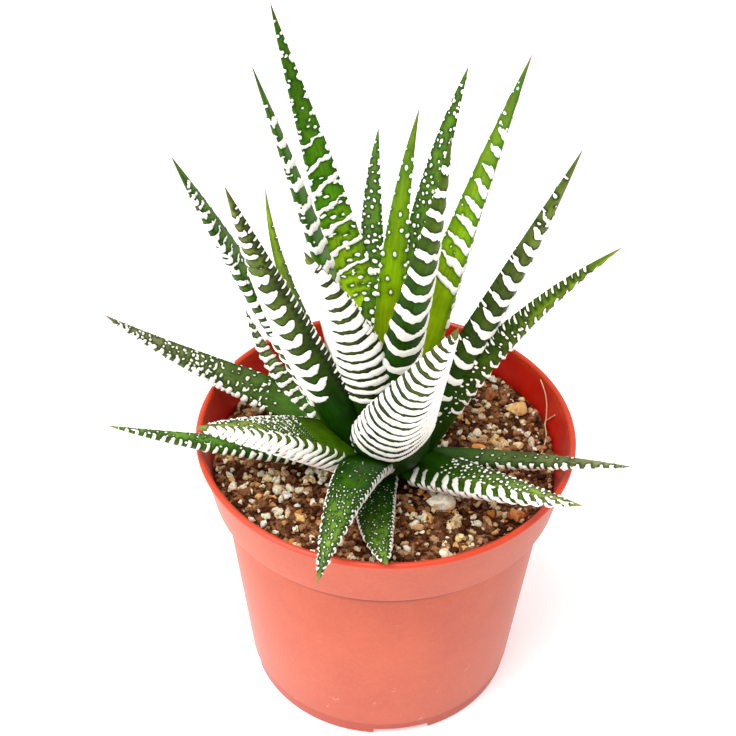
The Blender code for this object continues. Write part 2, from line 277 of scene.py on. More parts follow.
def keep_value(mesh, name, values):
    """Keeps one number, or one vector, for each point of a mesh, for its material to read."""
    kind = "FLOAT" if values.ndim == 1 else "FLOAT_VECTOR"
    made = mesh.attributes.new(name, kind, "POINT")
    made.data.foreach_set("value" if values.ndim == 1 else "vector", np.ascontiguousarray(values).ravel())


def smoothstep(low, high, values):
    share = np.clip((values - low) / (high - low), 0.0, 1.0)
    return share * share * (3.0 - 2.0 * share)


def cloud(x, y, seed):
    """Smooth random values from 0 to 1 over a plane, one hill or hollow to each unit."""
    table = np.random.RandomState(seed).rand(CLOUD_CELLS, CLOUD_CELLS)
    cell_x, cell_y = np.floor(x).astype(int), np.floor(y).astype(int)
    share_x, share_y = smoothstep(0, 1, x - cell_x), smoothstep(0, 1, y - cell_y)
    here, next_x = cell_x % CLOUD_CELLS, (cell_x + 1) % CLOUD_CELLS
    rows = []
    for row in (cell_y % CLOUD_CELLS, (cell_y + 1) % CLOUD_CELLS):
        rows.append(table[here, row] * (1 - share_x) + table[next_x, row] * share_x)
    return rows[0] * (1 - share_y) + rows[1] * share_y


def lathe(profile, steps):
    """Turns a profile of (radius, height) in millimetres round Z into a closed solid."""
    let_go()
    bpy.ops.mesh.primitive_plane_add(size=MM, location=(0, 0, 0))
    thing = bpy.context.object
    edit()
    bpy.ops.mesh.merge(type="CENTER")
    bpy.ops.transform.translate(value=(profile[0][0] * MM, 0, profile[0][1] * MM))
    for before, after in zip(profile, profile[1:]):
        move = ((after[0] - before[0]) * MM, 0, (after[1] - before[1]) * MM)
        bpy.ops.mesh.extrude_region_move(TRANSFORM_OT_translate={"value": move})
    bpy.ops.mesh.select_all(action="SELECT")
    bpy.ops.mesh.spin(steps=steps, angle=2 * math.pi, center=(0, 0, 0), axis=(0, 0, 1))
    bpy.ops.mesh.select_all(action="SELECT")
    bpy.ops.mesh.remove_doubles(threshold=MM * 0.001)
    bpy.ops.mesh.normals_make_consistent(inside=False)
    bpy.ops.object.mode_set(mode="OBJECT")
    return thing


def apply_all(piece):
    pick(piece)
    for modifier in list(piece.modifiers):
        bpy.ops.object.modifier_apply(modifier=modifier.name)


def subdivide(piece):
    """Rounds a piece off by two levels of subdivision."""
    rounder = piece.modifiers.new("round", "SUBSURF")
    rounder.levels = 2
    rounder.render_levels = 2
    apply_all(piece)


def around(azimuth, distance):
    """The x and y of a place, from its azimuth in degrees and its distance from the axis."""
    turn = math.radians(azimuth)
    return distance * math.cos(turn), distance * math.sin(turn)


print("helpers ready")

# %% [markdown]
# ## The floor
# The pot stands on a plain pale sweep. A sheet that is much larger than the view gives the same light
# from every side. It glows a little, as a light table does, so that the pot throws next to no shadow.
# It isn't part of the object, so it is marked as the stage.

# %% Floor
FLOOR_SIZE = 4.0
FLOOR_GLOW = 0.32
let_go()
bpy.ops.mesh.primitive_plane_add(size=FLOOR_SIZE, location=(0, 0, 0))
floor = bpy.context.object
floor.name = "floor"
pale, shader, places = new_finish("floor_pale", 0.8, Emission_Color=WHITE, Emission_Strength=FLOOR_GLOW)
faint = places.speckle(0.4, detail=3.0)
places.plug(shader, "Base Color", faint.mix(colour(247, 246, 246), colour(251, 250, 250)))
floor.data.materials.append(pale)
print("floor", FLOOR_SIZE, "m")

# %% [markdown]
# ## The pot
# A nursery pot is blown or moulded from a thin sheet of plastic: a rounded lip, a slightly flared collar
# that stiffens it, a small step under the collar, a long tapering wall, and a ledge at the foot with
# notches for water. All of it but the notches is round, so a profile is drawn point by point and spun.
# The notches are cut out afterwards, and then the sharp edges get a small bevel, because moulded plastic
# has no sharp edge and the bevel is what catches the light.

# %% Pot profile
POT_HEIGHT = 73.4
LIP_RADIUS = 45.0
LIP_BEAD = 0.8
WALL = 1.3
FLOOR_THICKNESS = 1.6
COLLAR_TOP, COLLAR_FOOT = (44.1, 71.2), (41.7, 58.4)
BODY_TOP, BODY_FOOT = (39.2, 57.6), (33.9, 4.2)
BASE_RADIUS = 33.3
GROOVE = 0.45            # depth of the fine line cut under the collar's edge
THINNER_TOP = 0.2        # how much thinner the wall is at the top of the collar
LIP_STEPS, LIP_START, LIP_TURN = 12, 190, 200    # the lip's bead, from inside over the top to outside


def near(point, out, up):
    """A point of the profile that lies this far out from another and above it."""
    return point[0] + out, point[1] + up


def pot_profile():
    """The pot's outline, from the middle of its floor up inside, over the lip and down to the middle."""
    inside = [(0.0, FLOOR_THICKNESS), (BASE_RADIUS - WALL - 1.5, FLOOR_THICKNESS),
              (BASE_RADIUS - WALL - 0.3, FLOOR_THICKNESS + 1.2), near(BODY_TOP, -WALL, -0.2),
              near(COLLAR_FOOT, -WALL, 0.4), near(COLLAR_TOP, THINNER_TOP - WALL, 0.0)]
    lip = []
    for step in range(LIP_STEPS + 1):
        angle = math.radians(LIP_START - LIP_TURN * step / LIP_STEPS)
        lip.append((LIP_RADIUS - LIP_BEAD + LIP_BEAD * math.cos(angle),
                    POT_HEIGHT - LIP_BEAD + LIP_BEAD * math.sin(angle)))
    collar = [near(COLLAR_TOP, 0.0, 0.5), near(COLLAR_TOP, -0.15, -0.6), near(COLLAR_FOOT, 0.12, 1.0),
              near(COLLAR_FOOT, 0.0, 0.4), near(COLLAR_FOOT, -0.5, -0.05)]
    body = [near(BODY_TOP, -GROOVE, 0.35), near(BODY_TOP, -GROOVE, 0.1), near(BODY_TOP, 0.0, -0.35),
            near(BODY_FOOT, 0.0, 0.2), near(BODY_FOOT, -0.5, -0.2)]
    foot = [(BASE_RADIUS, 0.8), (BASE_RADIUS - 0.25, 0.25), (BASE_RADIUS - 0.8, 0.0), (0.0, 0.0)]
    return inside + lip + collar + body + foot


POT_STEPS = 168
pot = lathe(pot_profile(), POT_STEPS)
print("pot faces", len(pot.data.polygons))

# %% Pot notches
NOTCHES = (10.5, 100.5, 190.5, 280.5)
NOTCH_WIDTH, NOTCH_HEIGHT, NOTCH_DEPTH, NOTCH_OVERRUN = 14.0, 2.0, 7.0, 4.0
for azimuth in NOTCHES:
    reach = NOTCH_DEPTH + NOTCH_OVERRUN
    x, y = around(azimuth, BASE_RADIUS - NOTCH_DEPTH + reach / 2)
    let_go()
    bpy.ops.mesh.primitive_cube_add(size=1.0, location=(0, 0, 0))
    block = bpy.context.object
    block.scale = (reach * MM, NOTCH_WIDTH * MM, 2 * NOTCH_HEIGHT * MM)
    block.rotation_euler = (0, 0, math.radians(azimuth))
    block.location = (x * MM, y * MM, 0)
    modifier = block.modifiers.new("round", "BEVEL")
    modifier.width = 0.6 * MM
    modifier.segments = 3
    cut = pot.modifiers.new("notch", "BOOLEAN")
    cut.operation = "DIFFERENCE"
    cut.solver = "EXACT"
    cut.object = block
    apply_all(pot)
    bpy.data.objects.remove(block)
soften = pot.modifiers.new("soften", "BEVEL")
soften.width = 0.14 * MM
soften.segments = 2
soften.limit_method = "ANGLE"
soften.angle_limit = math.radians(28)
apply_all(pot)
bpy.ops.object.shade_smooth_by_angle(angle=math.radians(50))
print("pot faces after the notches", len(pot.data.polygons))

# %% [markdown]
# The plastic is one colour all through, but it doesn't look so. Outside, handling and lime leave a dull
# bloom that pales the red, and the paler outside colour is also a painted sheen. The lip is rubbed clean,
# and inside the red is painted deeper for the light that bounces from wall to wall. A value from 0 inside
# to 1 outside is kept on the points, and the material blends by it.
# The outside wall is darkened by painted shade under the collar's edge and along the ledge, the foot below
# the ledge is a darker red, and a little dust clings to the foot.

# %% Pot material
pot_points = points_of(pot.data) / MM
radius = np.hypot(pot_points[:, 0], pot_points[:, 1])
height = pot_points[:, 2]
middle = np.interp(height, [FLOOR_THICKNESS, BODY_TOP[1], COLLAR_FOOT[1], COLLAR_TOP[1], POT_HEIGHT],
                   [BASE_RADIUS, BODY_TOP[0], COLLAR_FOOT[0], COLLAR_TOP[0], LIP_RADIUS - 0.2])
outside = smoothstep(-1.0, -0.5, radius - middle)
outside = np.where(height < FLOOR_THICKNESS + 0.05, 1.0, outside)
lip_share = smoothstep(POT_HEIGHT - 2.3, POT_HEIGHT - 1.1, height)
keep_value(pot.data, "outside", outside)
keep_value(pot.data, "lip", lip_share)

PAINTED_SHADE_UNDER_COLLAR = (0.0546, 0.0562)     # the heights over which painted shade darkens the wall up to the collar's edge
BELOW_LEDGE, ABOVE_LEDGE = (0.0033, 0.0039), (0.0041, 0.0049)   # and those of the painted shade line at the ledge
plastic, shader, places = new_finish("pot_plastic", 0.4, Sheen_Weight=0.1, Sheen_Roughness=0.3)
is_outside = places.stored("outside")
is_lip = places.stored("lip")
blotches = places.speckle(0.022, detail=4.0, roughness=0.6)
flow = places.stretched((1.0, 1.0, 0.12)).speckle(0.0035, detail=2.0)
scuffs = places.stretched((0.25, 0.25, 1.6)).speckle(0.0016, detail=3.0, roughness=0.7).step(0.62, 0.74)
# Inside: a deeper red, painted for the light that bounces from wall to wall.
inner_red_painted_bounce = flow.step(0.3, 0.7).mix(colour(184, 18, 4), colour(200, 28, 8))
mottle = places.speckle(0.0009, detail=3.0, roughness=0.7).step(0.35, 0.65)
# Outside: the dull bloom, whose paler red is also a painted sheen.
bloom_and_painted_sheen = (blotches.step(0.25, 0.75) * 0.7 + mottle * 0.3).mix(colour(172, 68, 40), colour(190, 86, 55))
bloom_and_painted_sheen = (scuffs * 0.25).mix(bloom_and_painted_sheen, colour(204, 124, 98))
wall = is_outside.mix(inner_red_painted_bounce, bloom_and_painted_sheen)
level = places.node("SeparateXYZ", {}, {"Vector": places}, out="Z")
# Painted shade: the outside wall darkens under the collar's edge and in a line along the ledge.
painted_shade_under_collar = level.step(*PAINTED_SHADE_UNDER_COLLAR) - level.step(BODY_TOP[1] * MM, COLLAR_FOOT[1] * MM)
painted_shade_at_ledge = level.step(*BELOW_LEDGE) - level.step(*ABOVE_LEDGE)
shaded = (painted_shade_under_collar * 0.9 + painted_shade_at_ledge * 0.5) * is_outside
wall = shaded.mix(wall, colour(112, 32, 20))
foot = (1.0 - level.step(*BELOW_LEDGE)) * is_outside * 0.5
wall = foot.mix(wall, colour(160, 46, 26))
dust = places.speckle(0.0045, detail=5.0, roughness=0.75).step(0.62, 0.70) * (1.0 - level.step(0.010, 0.030))
wall = (dust * is_outside * 0.5).mix(wall, colour(228, 186, 166))
wall = (is_lip * (0.75 + blotches * 0.25)).mix(wall, colour(200, 56, 18))
dull = 0.30 + is_outside * 0.14 + blotches * 0.08 + scuffs * 0.1 - is_lip * 0.06
grain = places.speckle(0.0006, detail=2.0)
dress(shader, wall, dull, flow * 0.6 + grain * 0.25, 0.00012, 0.5)
settle(pot, "pot_shell", "pot", plastic, "pot")
print("pot box", [round(side, 4) for side in pot.dimensions])

# %% [markdown]
# ## The soil
# The mix is dark peat with grit in it. The root ball fills the pot, and its top dips here and there.
# The bed is turned like the pot, from rings that stand close together at the top. Each point of the top
# is then lifted by noise: low heaps first, and on them lumps of three sizes.

# %% Soil bed
SOIL_TOP = 65.0
SOIL_RINGS = 84
SOIL_BUMP, SOIL_BUMP_SIZE = 0.9, 9.0
# azimuth, distance from the axis, reach and depth of each hollow
SOIL_HOLLOWS = ((-18.0, 38.0, 15.0, 4.2), (150.0, 36.0, 12.0, 1.5), (240.0, 34.0, 10.0, 1.2))
SOIL_RIM = 41.2
SOIL_PULL = 0.17         # how far a point that rises moves outwards with the wall
SOIL_STEPS = 224
SOIL_WALL = [(39.9, 58.2), (37.6, 56.6), (31.4, 2.8), (30.2, 1.9), (0.0, 1.9)]
SOIL_LUMPS = ((2.6, 0.55), (1.1, 0.35), (0.5, 0.16))     # size across and height of each kind of lump


def soil_height(x, y):
    """The height of the soil at a place, in millimetres, before its crumbs."""
    height = SOIL_TOP + SOIL_BUMP * noise.noise(Vector((x, y, 7.0)) / SOIL_BUMP_SIZE)
    for azimuth, distance, reach, depth in SOIL_HOLLOWS:
        middle_x, middle_y = around(azimuth, distance)
        apart = math.hypot(x - middle_x, y - middle_y)
        height -= depth * math.exp(-((apart / reach) ** 2))
    return height


rings = [(SOIL_RIM * ring / SOIL_RINGS, SOIL_TOP) for ring in range(SOIL_RINGS + 1)]
soil = lathe(rings + SOIL_WALL, SOIL_STEPS)
soil_points = points_of(soil.data) / MM
for point in soil_points:
    x, y, z = point
    if z < SOIL_TOP - 0.01:
        continue
    rise = soil_height(x, y) - SOIL_TOP
    for number, (size, lump) in enumerate(SOIL_LUMPS):
        rise += lump * noise.noise(Vector((x, y, 31.0 + number)) / size)
    pull = 1.0 + SOIL_PULL * rise / SOIL_RIM * (math.hypot(x, y) / SOIL_RIM)
    point[:] = (x * pull, y * pull, SOIL_TOP + rise)
place_points(soil.data, soil_points * MM)
bpy.ops.object.shade_smooth()
print("soil faces", len(soil.data.polygons))

# %% Soil material
CROWN_SHADE = (0.012, 0.026)     # the distances from the axis over which the leaves' shade on the soil ends
peat, shader, places = new_finish("soil_peat", 0.95, Specular_IOR_Level=0.12)
lumps = places.speckle(0.0028, detail=5.0, roughness=0.65)
crumbs = places.speckle(0.0009, detail=3.0, roughness=0.7)
tone = (lumps * 0.6 + crumbs * 0.4).ramp((0.35, colour(16, 6, 2)), (0.47, colour(66, 36, 20)),
                                         (0.57, colour(140, 94, 62)), (0.70, colour(230, 184, 134)))
flecks = places.node("TexVoronoi", {"feature": "F1"}, {"Vector": places, "Scale": 900.0}, out="Distance")
tone = ((1.0 - flecks.step(0.10, 0.20)) * lumps.step(0.5, 0.6)).mix(tone, colour(214, 186, 150))
flat = places.stretched((1.0, 1.0, 0.0))
off_axis = flat.node("VectorMath", {"operation": "LENGTH"}, {0: flat}, out="Value")
crown = 1.0 - off_axis.step(*CROWN_SHADE)
tone = (crown * 0.75).mix(tone, colour(14, 6, 4))
dress(shader, tone, 0.88 + crumbs * 0.1, lumps * 0.5 + crumbs * 0.5, 0.0007)
settle(soil, "soil_bed", "soil", peat, "soil")
print("soil box", [round(side, 4) for side in soil.dimensions])

# %% [markdown]
# ## Crumbs and grit
# The top of the soil is all loose bits: dark peat crumbs, paler lumps, splinters of bark, pale grit and
# a few white grains. A bit that is repeated hundreds of times has to be simple, so each kind has three
# small rocks of eighty faces. They are copied, turned and sized for each place, and each kind is joined
# into one piece. Every bit keeps a random value of its own, by which its colour is picked.

# %% Scatter the loose bits
# kind: how many, smallest and largest size, flatness, how far it stands out of the soil, colours
BITS = {
    "crumbs": (1000, 0.9, 2.6, 0.80, 0.26, (56, 28, 14), (118, 74, 46), (182, 130, 88), (80, 44, 24)),
    "lumps": (520, 0.9, 2.6, 0.70, 0.36, (208, 150, 100), (150, 98, 60), (236, 190, 138), (96, 54, 30)),
    "bark": (360, 0.9, 2.7, 0.42, 0.38, (190, 92, 32), (230, 146, 70), (120, 56, 24), (244, 186, 112)),
    "grit": (480, 1.0, 2.6, 0.70, 0.38, (250, 204, 130), (255, 238, 184), (220, 150, 78), (255, 248, 214)),
    "grains": (330, 0.8, 2.4, 0.80, 0.44, (255, 250, 230), (255, 253, 240), (255, 240, 200), (255, 248, 220)),
}
BIT_REACH = 40.3
STEM_CLEAR = 5.0
BIT_SEED = 20
BIT_SHAPES = 3           # different rocks of each kind
BIT_GRAIN = 0.0005       # size of the pits in them, in metres
BIT_ROUGHNESS = 0.85
BIT_SIZE_POWER = 2.2     # above 1, most bits are near the smallest size
BIT_TILT, BIT_SINK = 0.35, 0.1
DENT, DENTS_ACROSS = 0.85, 2.2   # how deep a rock's dents are, and how many there are across it


def rock(rng, flatness):
    """A small uneven rock about one unit across, of eighty faces."""
    let_go()
    bpy.ops.mesh.primitive_ico_sphere_add(subdivisions=2, radius=0.5)
    made = bpy.context.object
    edit()
    bpy.ops.transform.resize(value=(1.0, rng.uniform(0.6, 0.85), flatness))
    bpy.ops.object.mode_set(mode="OBJECT")
    points = points_of(made.data)
    shift = rng.uniform(0, 50, 3)
    for point in points:
        point *= 1.0 + DENT * noise.noise(Vector(point * DENTS_ACROSS + shift))
    place_points(made.data, points)
    return made


def scatter(kind, count, small, large, flatness, stand, rng):
    """Copies of a few rocks over the top of the soil, joined into one piece."""
    shapes = [rock(rng, flatness) for _ in range(BIT_SHAPES)]
    copies = []
    for number in range(count):
        distance = math.sqrt(rng.uniform(STEM_CLEAR ** 2, BIT_REACH ** 2))
        turn = rng.uniform(0, 2 * math.pi)
        size = small + (large - small) * rng.uniform(0, 1) ** BIT_SIZE_POWER
        x, y = distance * math.cos(turn), distance * math.sin(turn)
        place = Vector((x, y, soil_height(x, y) + (stand - BIT_SINK) * size * flatness))
        tilt = Matrix.Rotation(rng.uniform(0, 2 * math.pi), 4, "Z")
        tilt = tilt @ Matrix.Rotation(rng.normal(0, BIT_TILT), 4, "X")
        copy = linked(kind, shapes[number % BIT_SHAPES].data.copy())
        copy.data.transform(Matrix.Translation(place * MM) @ tilt @ Matrix.Scale(size * MM, 4))
        keep_value(copy.data, "pick", np.full(len(copy.data.vertices), rng.uniform(0, 1)))
        copies.append(copy)
    for shape in shapes:
        bpy.data.objects.remove(shape)
    let_go()
    for copy in copies:
        copy.select_set(True)
    bpy.context.view_layer.objects.active = copies[0]
    bpy.ops.object.join()
    bpy.ops.object.shade_smooth_by_angle(angle=math.radians(26))
    return bpy.context.object


def bit_finish(name, colours):
    """Each bit takes its colour from between four, darkened in its pits."""
    made, shader, places = new_finish(name, BIT_ROUGHNESS, Specular_IOR_Level=0.2)
    stops = [(0.25 * number, colour(*shade)) for number, shade in enumerate(colours)]
    base = places.stored("pick").ramp(*stops)
    pits = places.speckle(BIT_GRAIN, detail=3.0, roughness=0.7)
    dirt = places.speckle(0.0024, detail=2.0).step(0.55, 0.75)
    base = base.scaled(1.0 - pits.step(0.40, 0.66) * 0.45)
    base = (dirt * 0.2).mix(base, colour(70, 36, 20))
    dress(shader, base, BIT_ROUGHNESS - 0.1 + pits * 0.2, pits, BIT_GRAIN * 0.4, 0.8)
    return made


for number, (kind, (count, small, large, flatness, stand, *colours)) in enumerate(BITS.items()):
    bits = scatter(kind, count, small, large, flatness, stand, np.random.RandomState(BIT_SEED + number))
    settle(bits, "soil_" + kind, "soil", bit_finish("soil_" + kind, colours))
    print(kind, count, "copies,", len(bits.data.polygons), "faces")

# %% [markdown]
# ## The stones
# The larger stones are solids of their own in the frame. A copy of each is merged, rounded by
# subdivision, chipped flat in places and roughened, so it lies where the solid does with a worn surface.

# %% Stones
# name: main colour, second colour, strength of the second
STONE_LOOKS = {
    "stone_tan": ((252, 204, 132), (212, 138, 74), 0.7),
    "stone_brown": ((206, 132, 76), (132, 70, 36), 0.8),
    "stone_orange": ((248, 170, 88), (200, 106, 44), 0.7),
    "stone_white_right": ((255, 248, 228), (220, 180, 130), 0.5),
    "stone_pale_right": ((250, 222, 170), (204, 148, 88), 0.7),
    "stone_cream_large": ((255, 252, 232), (240, 206, 142), 0.8),
    "stone_greenish": ((232, 204, 148), (130, 92, 60), 0.8),
    "stone_russet": ((222, 138, 70), (150, 62, 22), 0.9),
    "stone_cream_front": ((250, 226, 160), (176, 128, 68), 0.8),
    "stone_white_front": ((255, 246, 216), (222, 186, 130), 0.6),
    "stone_white_inner": ((255, 240, 208), (224, 184, 130), 0.6),
    "stone_tan_left": ((230, 180, 110), (164, 100, 52), 0.7),
    "stone_white_left": ((255, 248, 222), (222, 186, 132), 0.5),
}
STONE_SEED = 60
STONE_LUMPS = ((2.6, 0.42), (1.2, 0.24), (0.5, 0.08))    # size across and height, as in the soil
CHIPS = 9                # flat faces broken off each stone
CHIP_REACH = (0.62, 0.90)        # how far out each of them lies, as a share of the stone
STONE_LIFT = 0.06        # pushes the surface out again, because rounding and chipping shrink a stone


def worn_copy(node, seed):
    """The solid's own mesh, merged, rounded, chipped flat in places and roughened."""
    rng = np.random.RandomState(seed)
    made = linked(node + "_worn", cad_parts[node].data.copy())
    made.data.materials.clear()
    pick(made)
    edit()
    bpy.ops.mesh.remove_doubles(threshold=MM * 0.005)
    bpy.ops.object.mode_set(mode="OBJECT")
    subdivide(made)
    points = points_of(made.data) / MM
    middle = points.mean(axis=0)
    for _ in range(CHIPS):
        facing = rng.normal(size=3)
        facing /= np.linalg.norm(facing)
        out = (points - middle) @ facing
        over = np.clip(out - out.max() * rng.uniform(*CHIP_REACH), 0.0, None)
        points -= over[:, None] * facing
    for point in points:
        lift = STONE_LIFT
        for size, height in STONE_LUMPS:
            lift += height * noise.noise(Vector(point) / size)
        outwards = point - middle
        point += outwards / max(np.linalg.norm(outwards), 0.01) * lift
    place_points(made.data, points * MM)
    bpy.ops.object.shade_smooth()
    return made


for number, (node, (main, second, strength)) in enumerate(STONE_LOOKS.items()):
    stone = worn_copy(node, STONE_SEED + number)
    finish, shader, places = new_finish(node, 0.75)
    veins = places.speckle(0.0016, detail=4.0, roughness=0.65)
    fine = places.speckle(0.0004, detail=2.0)
    tone = (veins.step(0.42, 0.66) * strength).mix(colour(*main), colour(*second))
    tone = (fine.step(0.60, 0.74) * 0.35).mix(tone, colour(110, 70, 44))
    dress(shader, tone, 0.6 + fine * 0.25, veins * 0.7 + fine * 0.3, 0.0004)
    settle(stone, node + "_worn", "stone", finish, node)
print("stones", len(STONE_LOOKS))

# %% [markdown]
# ## The dry root
# One thin root has come out of the soil and dried against the inside of the wall. A curve with a round
# bevel gives a hair its thickness, and it is made into a mesh before its place is applied.

# %% Root
ROOT_THICKNESS = 0.16
# Each point: azimuth, height. The root runs just inside the wall.
ROOT_PATHS = {
    "root_hair": ((27.5, 73.0), (24.5, 71.6), (21.6, 69.8), (19.6, 67.6), (18.1, 65.6)),
    "root_branch": ((18.1, 65.6), (16.8, 66.8), (15.4, 68.4), (14.2, 69.6)),
}
# Each point: azimuth, distance from the axis. Past the foot of the wall the root lies on the soil.
ROOT_ON_SOIL = {"root_hair": ((17.6, 41.0), (12.0, 40.3), (7.7, 39.0), (2.5, 37.5)), "root_branch": ()}
ROOT_CLEARANCE, ROOT_WALL_GAP = 0.45, 0.35      # how far its middle runs above the soil and off the wall
INNER_WALL = (COLLAR_FOOT[0] - WALL, COLLAR_TOP[0] - WALL + THINNER_TOP)
dry, shader, places = new_finish("root_dry", 0.7)
bands = places.speckle(0.0012, detail=2.0)
places.plug(shader, "Base Color", bands.mix(colour(206, 150, 110), colour(246, 220, 184)))
for name, path in ROOT_PATHS.items():
    strand = bpy.data.curves.new(name, "CURVE")
    strand.dimensions = "3D"
    strand.bevel_depth = ROOT_THICKNESS * MM
    strand.bevel_resolution = 2
    strand.use_fill_caps = True
    spline = strand.splines.new("NURBS")
    spline.points.add(len(path) + len(ROOT_ON_SOIL[name]) - 1)
    spline.use_endpoint_u = True
    spline.order_u = 3
    for point, (azimuth, height) in zip(spline.points, path):
        wall = np.interp(height, (COLLAR_FOOT[1], COLLAR_TOP[1]), INNER_WALL)
        x, y = around(azimuth, wall - ROOT_WALL_GAP)
        point.co = (x * MM, y * MM, height * MM, 1.0)
    for point, (azimuth, out) in zip(spline.points[len(path):], ROOT_ON_SOIL[name]):
        x, y = around(azimuth, out)
        point.co = (x * MM, y * MM, (soil_height(x, y) + ROOT_CLEARANCE) * MM, 1.0)
    pick(linked(name, strand))
    bpy.ops.object.convert(target="MESH")
    bpy.ops.object.shade_smooth()
    settle(bpy.context.object, name, "soil", dry)
print("root strands", len(ROOT_PATHS))

# %% [markdown]
# ## The stem
# The stem is a short crown that the leaves grow from, hidden between their bases. It is turned, and
# then ridged where old leaves have dropped, so that it holds up if it is seen between them.

# %% Stem
STEM_PROFILE = ((0.0, 79.0), (1.0, 79.0), (3.0, 76.5), (4.6, 73.0), (6.2, 69.0), (6.6, 65.5), (5.2, 62.0),
                (3.0, 59.0), (0.0, 59.0))
STEM_RIDGES = 3.1        # how far apart the leaf scars stand
SCAR_DEPTH, RIND_DEPTH = 0.05, 0.04      # shares of the radius
stem = lathe(STEM_PROFILE, 64)
subdivide(stem)
stem_points = points_of(stem.data) / MM
for point in stem_points:
    turn = math.atan2(point[1], point[0])
    scar = abs(math.sin(math.pi * point[2] / STEM_RIDGES + 1.5 * turn))
    shrink = 1.0 - SCAR_DEPTH * scar - RIND_DEPTH * noise.noise(Vector(point) / 2.0)
    point[:2] *= min(shrink, 1.0)
place_points(stem.data, stem_points * MM)
bpy.ops.object.shade_smooth()
rind, shader, places = new_finish("stem_rind", 0.6)
patches = places.speckle(0.003, detail=4.0)
tone = patches.step(0.35, 0.65).mix(colour(58, 84, 28), colour(104, 96, 48))
dress(shader, tone, 0.5 + patches * 0.3, patches, 0.0005)
settle(stem, "stem_crown", "stem", rind, "stem")
print("stem box", [round(side, 4) for side in stem.dimensions])

# %% [markdown]
# ## The leaves: shape
# A leaf is a long wedge: rounded outside, nearly flat inside, widest near its root and drawn out to a
# hard point. It also sweeps sideways and bends as it rises. A sphere has the right skin already, closed
# and with two poles, so each leaf starts as a sphere whose poles become the root and the tip. Every
# point moves to the station and the place round the section that it had on the sphere.

# %% Leaf measures
# Azimuth and sweep turn the leaf about Z, the rises are its angles above the floor at the root and at
# the tip, and twist rolls it. Angles are in degrees, and lengths are in millimetres.
Leaf = namedtuple("Leaf", "azimuth sweep root_rise tip_rise length root_out root_height width fullness twist")
LEAVES = {
    "leaf_centre_smooth": Leaf(82, -19, 99, 63, 79, 1.5, 75.5, 7.3, 2.5, 6),
    "leaf_back_short": Leaf(105, -21, 56, 32, 72, 2.0, 74.0, 7.0, 3.2, 0),
    "leaf_back_left_tall": Leaf(106, 43, 49, 72, 101, 3.2, 73.5, 11.0, 2.1, -10),
    "leaf_back_dark": Leaf(66, -11, 84, 57, 87, 2.5, 73.5, 7.2, 3.8, 1),
    "leaf_front_banded": Leaf(-88, 68, 70, 83, 95, 2.5, 73.0, 10.0, 2.5, -9),
    "leaf_left_tall_thin": Leaf(160, 0, 77, 68, 94, 3.5, 72.5, 7.4, 2.5, 4),
    "leaf_right_tall": Leaf(29, 17, 79, 60, 95, 3.5, 72.0, 10.6, 1.7, 12),
    "leaf_front_striped": Leaf(-116, -18, 80, 59, 74.5, 4.0, 71.0, 16.8, 2.4, 12),
    "leaf_left_banded": Leaf(214, 9, 64, 71, 93, 5.0, 69.5, 12.6, 2.0, 32),
    "leaf_right_banded": Leaf(-25, -6, 68, 70, 99, 5.0, 69.5, 10.1, 1.8, -34),
    "leaf_front_wide": Leaf(-87, 36, 58, 62, 76, 5.0, 69.0, 19.0, 1.8, -18),
    "leaf_left_outer": Leaf(192, -20, 66, 62, 90, 6.5, 67.0, 10.6, 3.2, -1),
    "leaf_right_olive": Leaf(-15, -28, 70, 49, 90, 6.5, 66.5, 11.2, 1.2, -45),
    "leaf_back_left_thin": Leaf(139, -41, 36, 24, 71, 5.5, 68.0, 4.8, 2.2, -36),
    "leaf_left_small": Leaf(156, -36, 6, 42, 46, 5.5, 67.0, 6.2, 2.3, 4),
    "leaf_front_left": Leaf(220, -9, 43, 25, 54, 5.5, 67.5, 15.0, 1.9, -19),
    "leaf_left_long": Leaf(151, 46, 3, 45, 71.5, 5.5, 68.0, 11.4, 1.7, -14),
    "leaf_right_low": Leaf(-45, 2, 22, 24, 57, 5.5, 66.5, 12.0, 1.5, 8),
    "leaf_front_low": Leaf(-104, 2, 54, -24, 59.5, 5.5, 66.0, 11.6, 2.3, 2),
    "leaf_front_short": Leaf(-98, 21, 15, 15, 45, 5.5, 66.0, 9.0, 3.6, 8),
    "leaf_right_smooth": Leaf(-17, -14, 16, 22, 57, 5.5, 66.0, 6.5, 2.1, 0),
    "leaf_left_low": Leaf(197, -4, 15, 23, 62.5, 5.5, 66.0, 8.4, 1.8, 1),
    "leaf_back_low": Leaf(76, 0, 20, 20, 42, 5.5, 66.0, 9.0, 2.4, 0),
    "leaf_back_right_low": Leaf(46, 0, 22, 24, 44, 5.5, 66.5, 9.0, 2.4, 0),
}
SPINE_STEPS = 400
ROOT_NARROWING, ROOT_NARROW_END = 0.3, 0.16      # how much narrower the root is, and up to which station
CAP = 0.012              # share of the sphere that closes the root end
EVEN = 0.55              # how far points are spread evenly over the face, and not by angle
POLE_REACH = 2e-6        # points of the sphere this near its axis lie on the middle line
ROUND_FACES, ROUND_PER_WIDTH = 56, 3.2   # faces round a leaf: a least number, and more for its width
FACE_LENGTH = 0.36
THIN, THICK_PER_WIDTH = 0.9, 0.34        # thickness of a leaf: a least value, and a share of its width
THICK_TAPER, THICK_POWER = 2.6, 0.8      # how the thickness falls off towards the tip
OUTER_DEPTH, INNER_DEPTH = 0.8, -0.2     # shares of the thickness on either side of the middle line


def leaf_heading(leaf, station):
    """The way the leaf points, its side and its outward direction at each station."""
    turn = np.radians(leaf.azimuth + leaf.sweep * station)
    rise = np.radians(leaf.root_rise + (leaf.tip_rise - leaf.root_rise) * station)
    ahead = np.stack([np.cos(turn) * np.cos(rise), np.sin(turn) * np.cos(rise), np.sin(rise)], axis=1)
    flat = np.stack([-np.sin(turn), np.cos(turn), np.zeros_like(turn)], axis=1)
    twist = math.radians(leaf.twist)
    side = flat * math.cos(twist) + np.cross(ahead, flat) * math.sin(twist)
    return ahead, side, -np.cross(ahead, side)


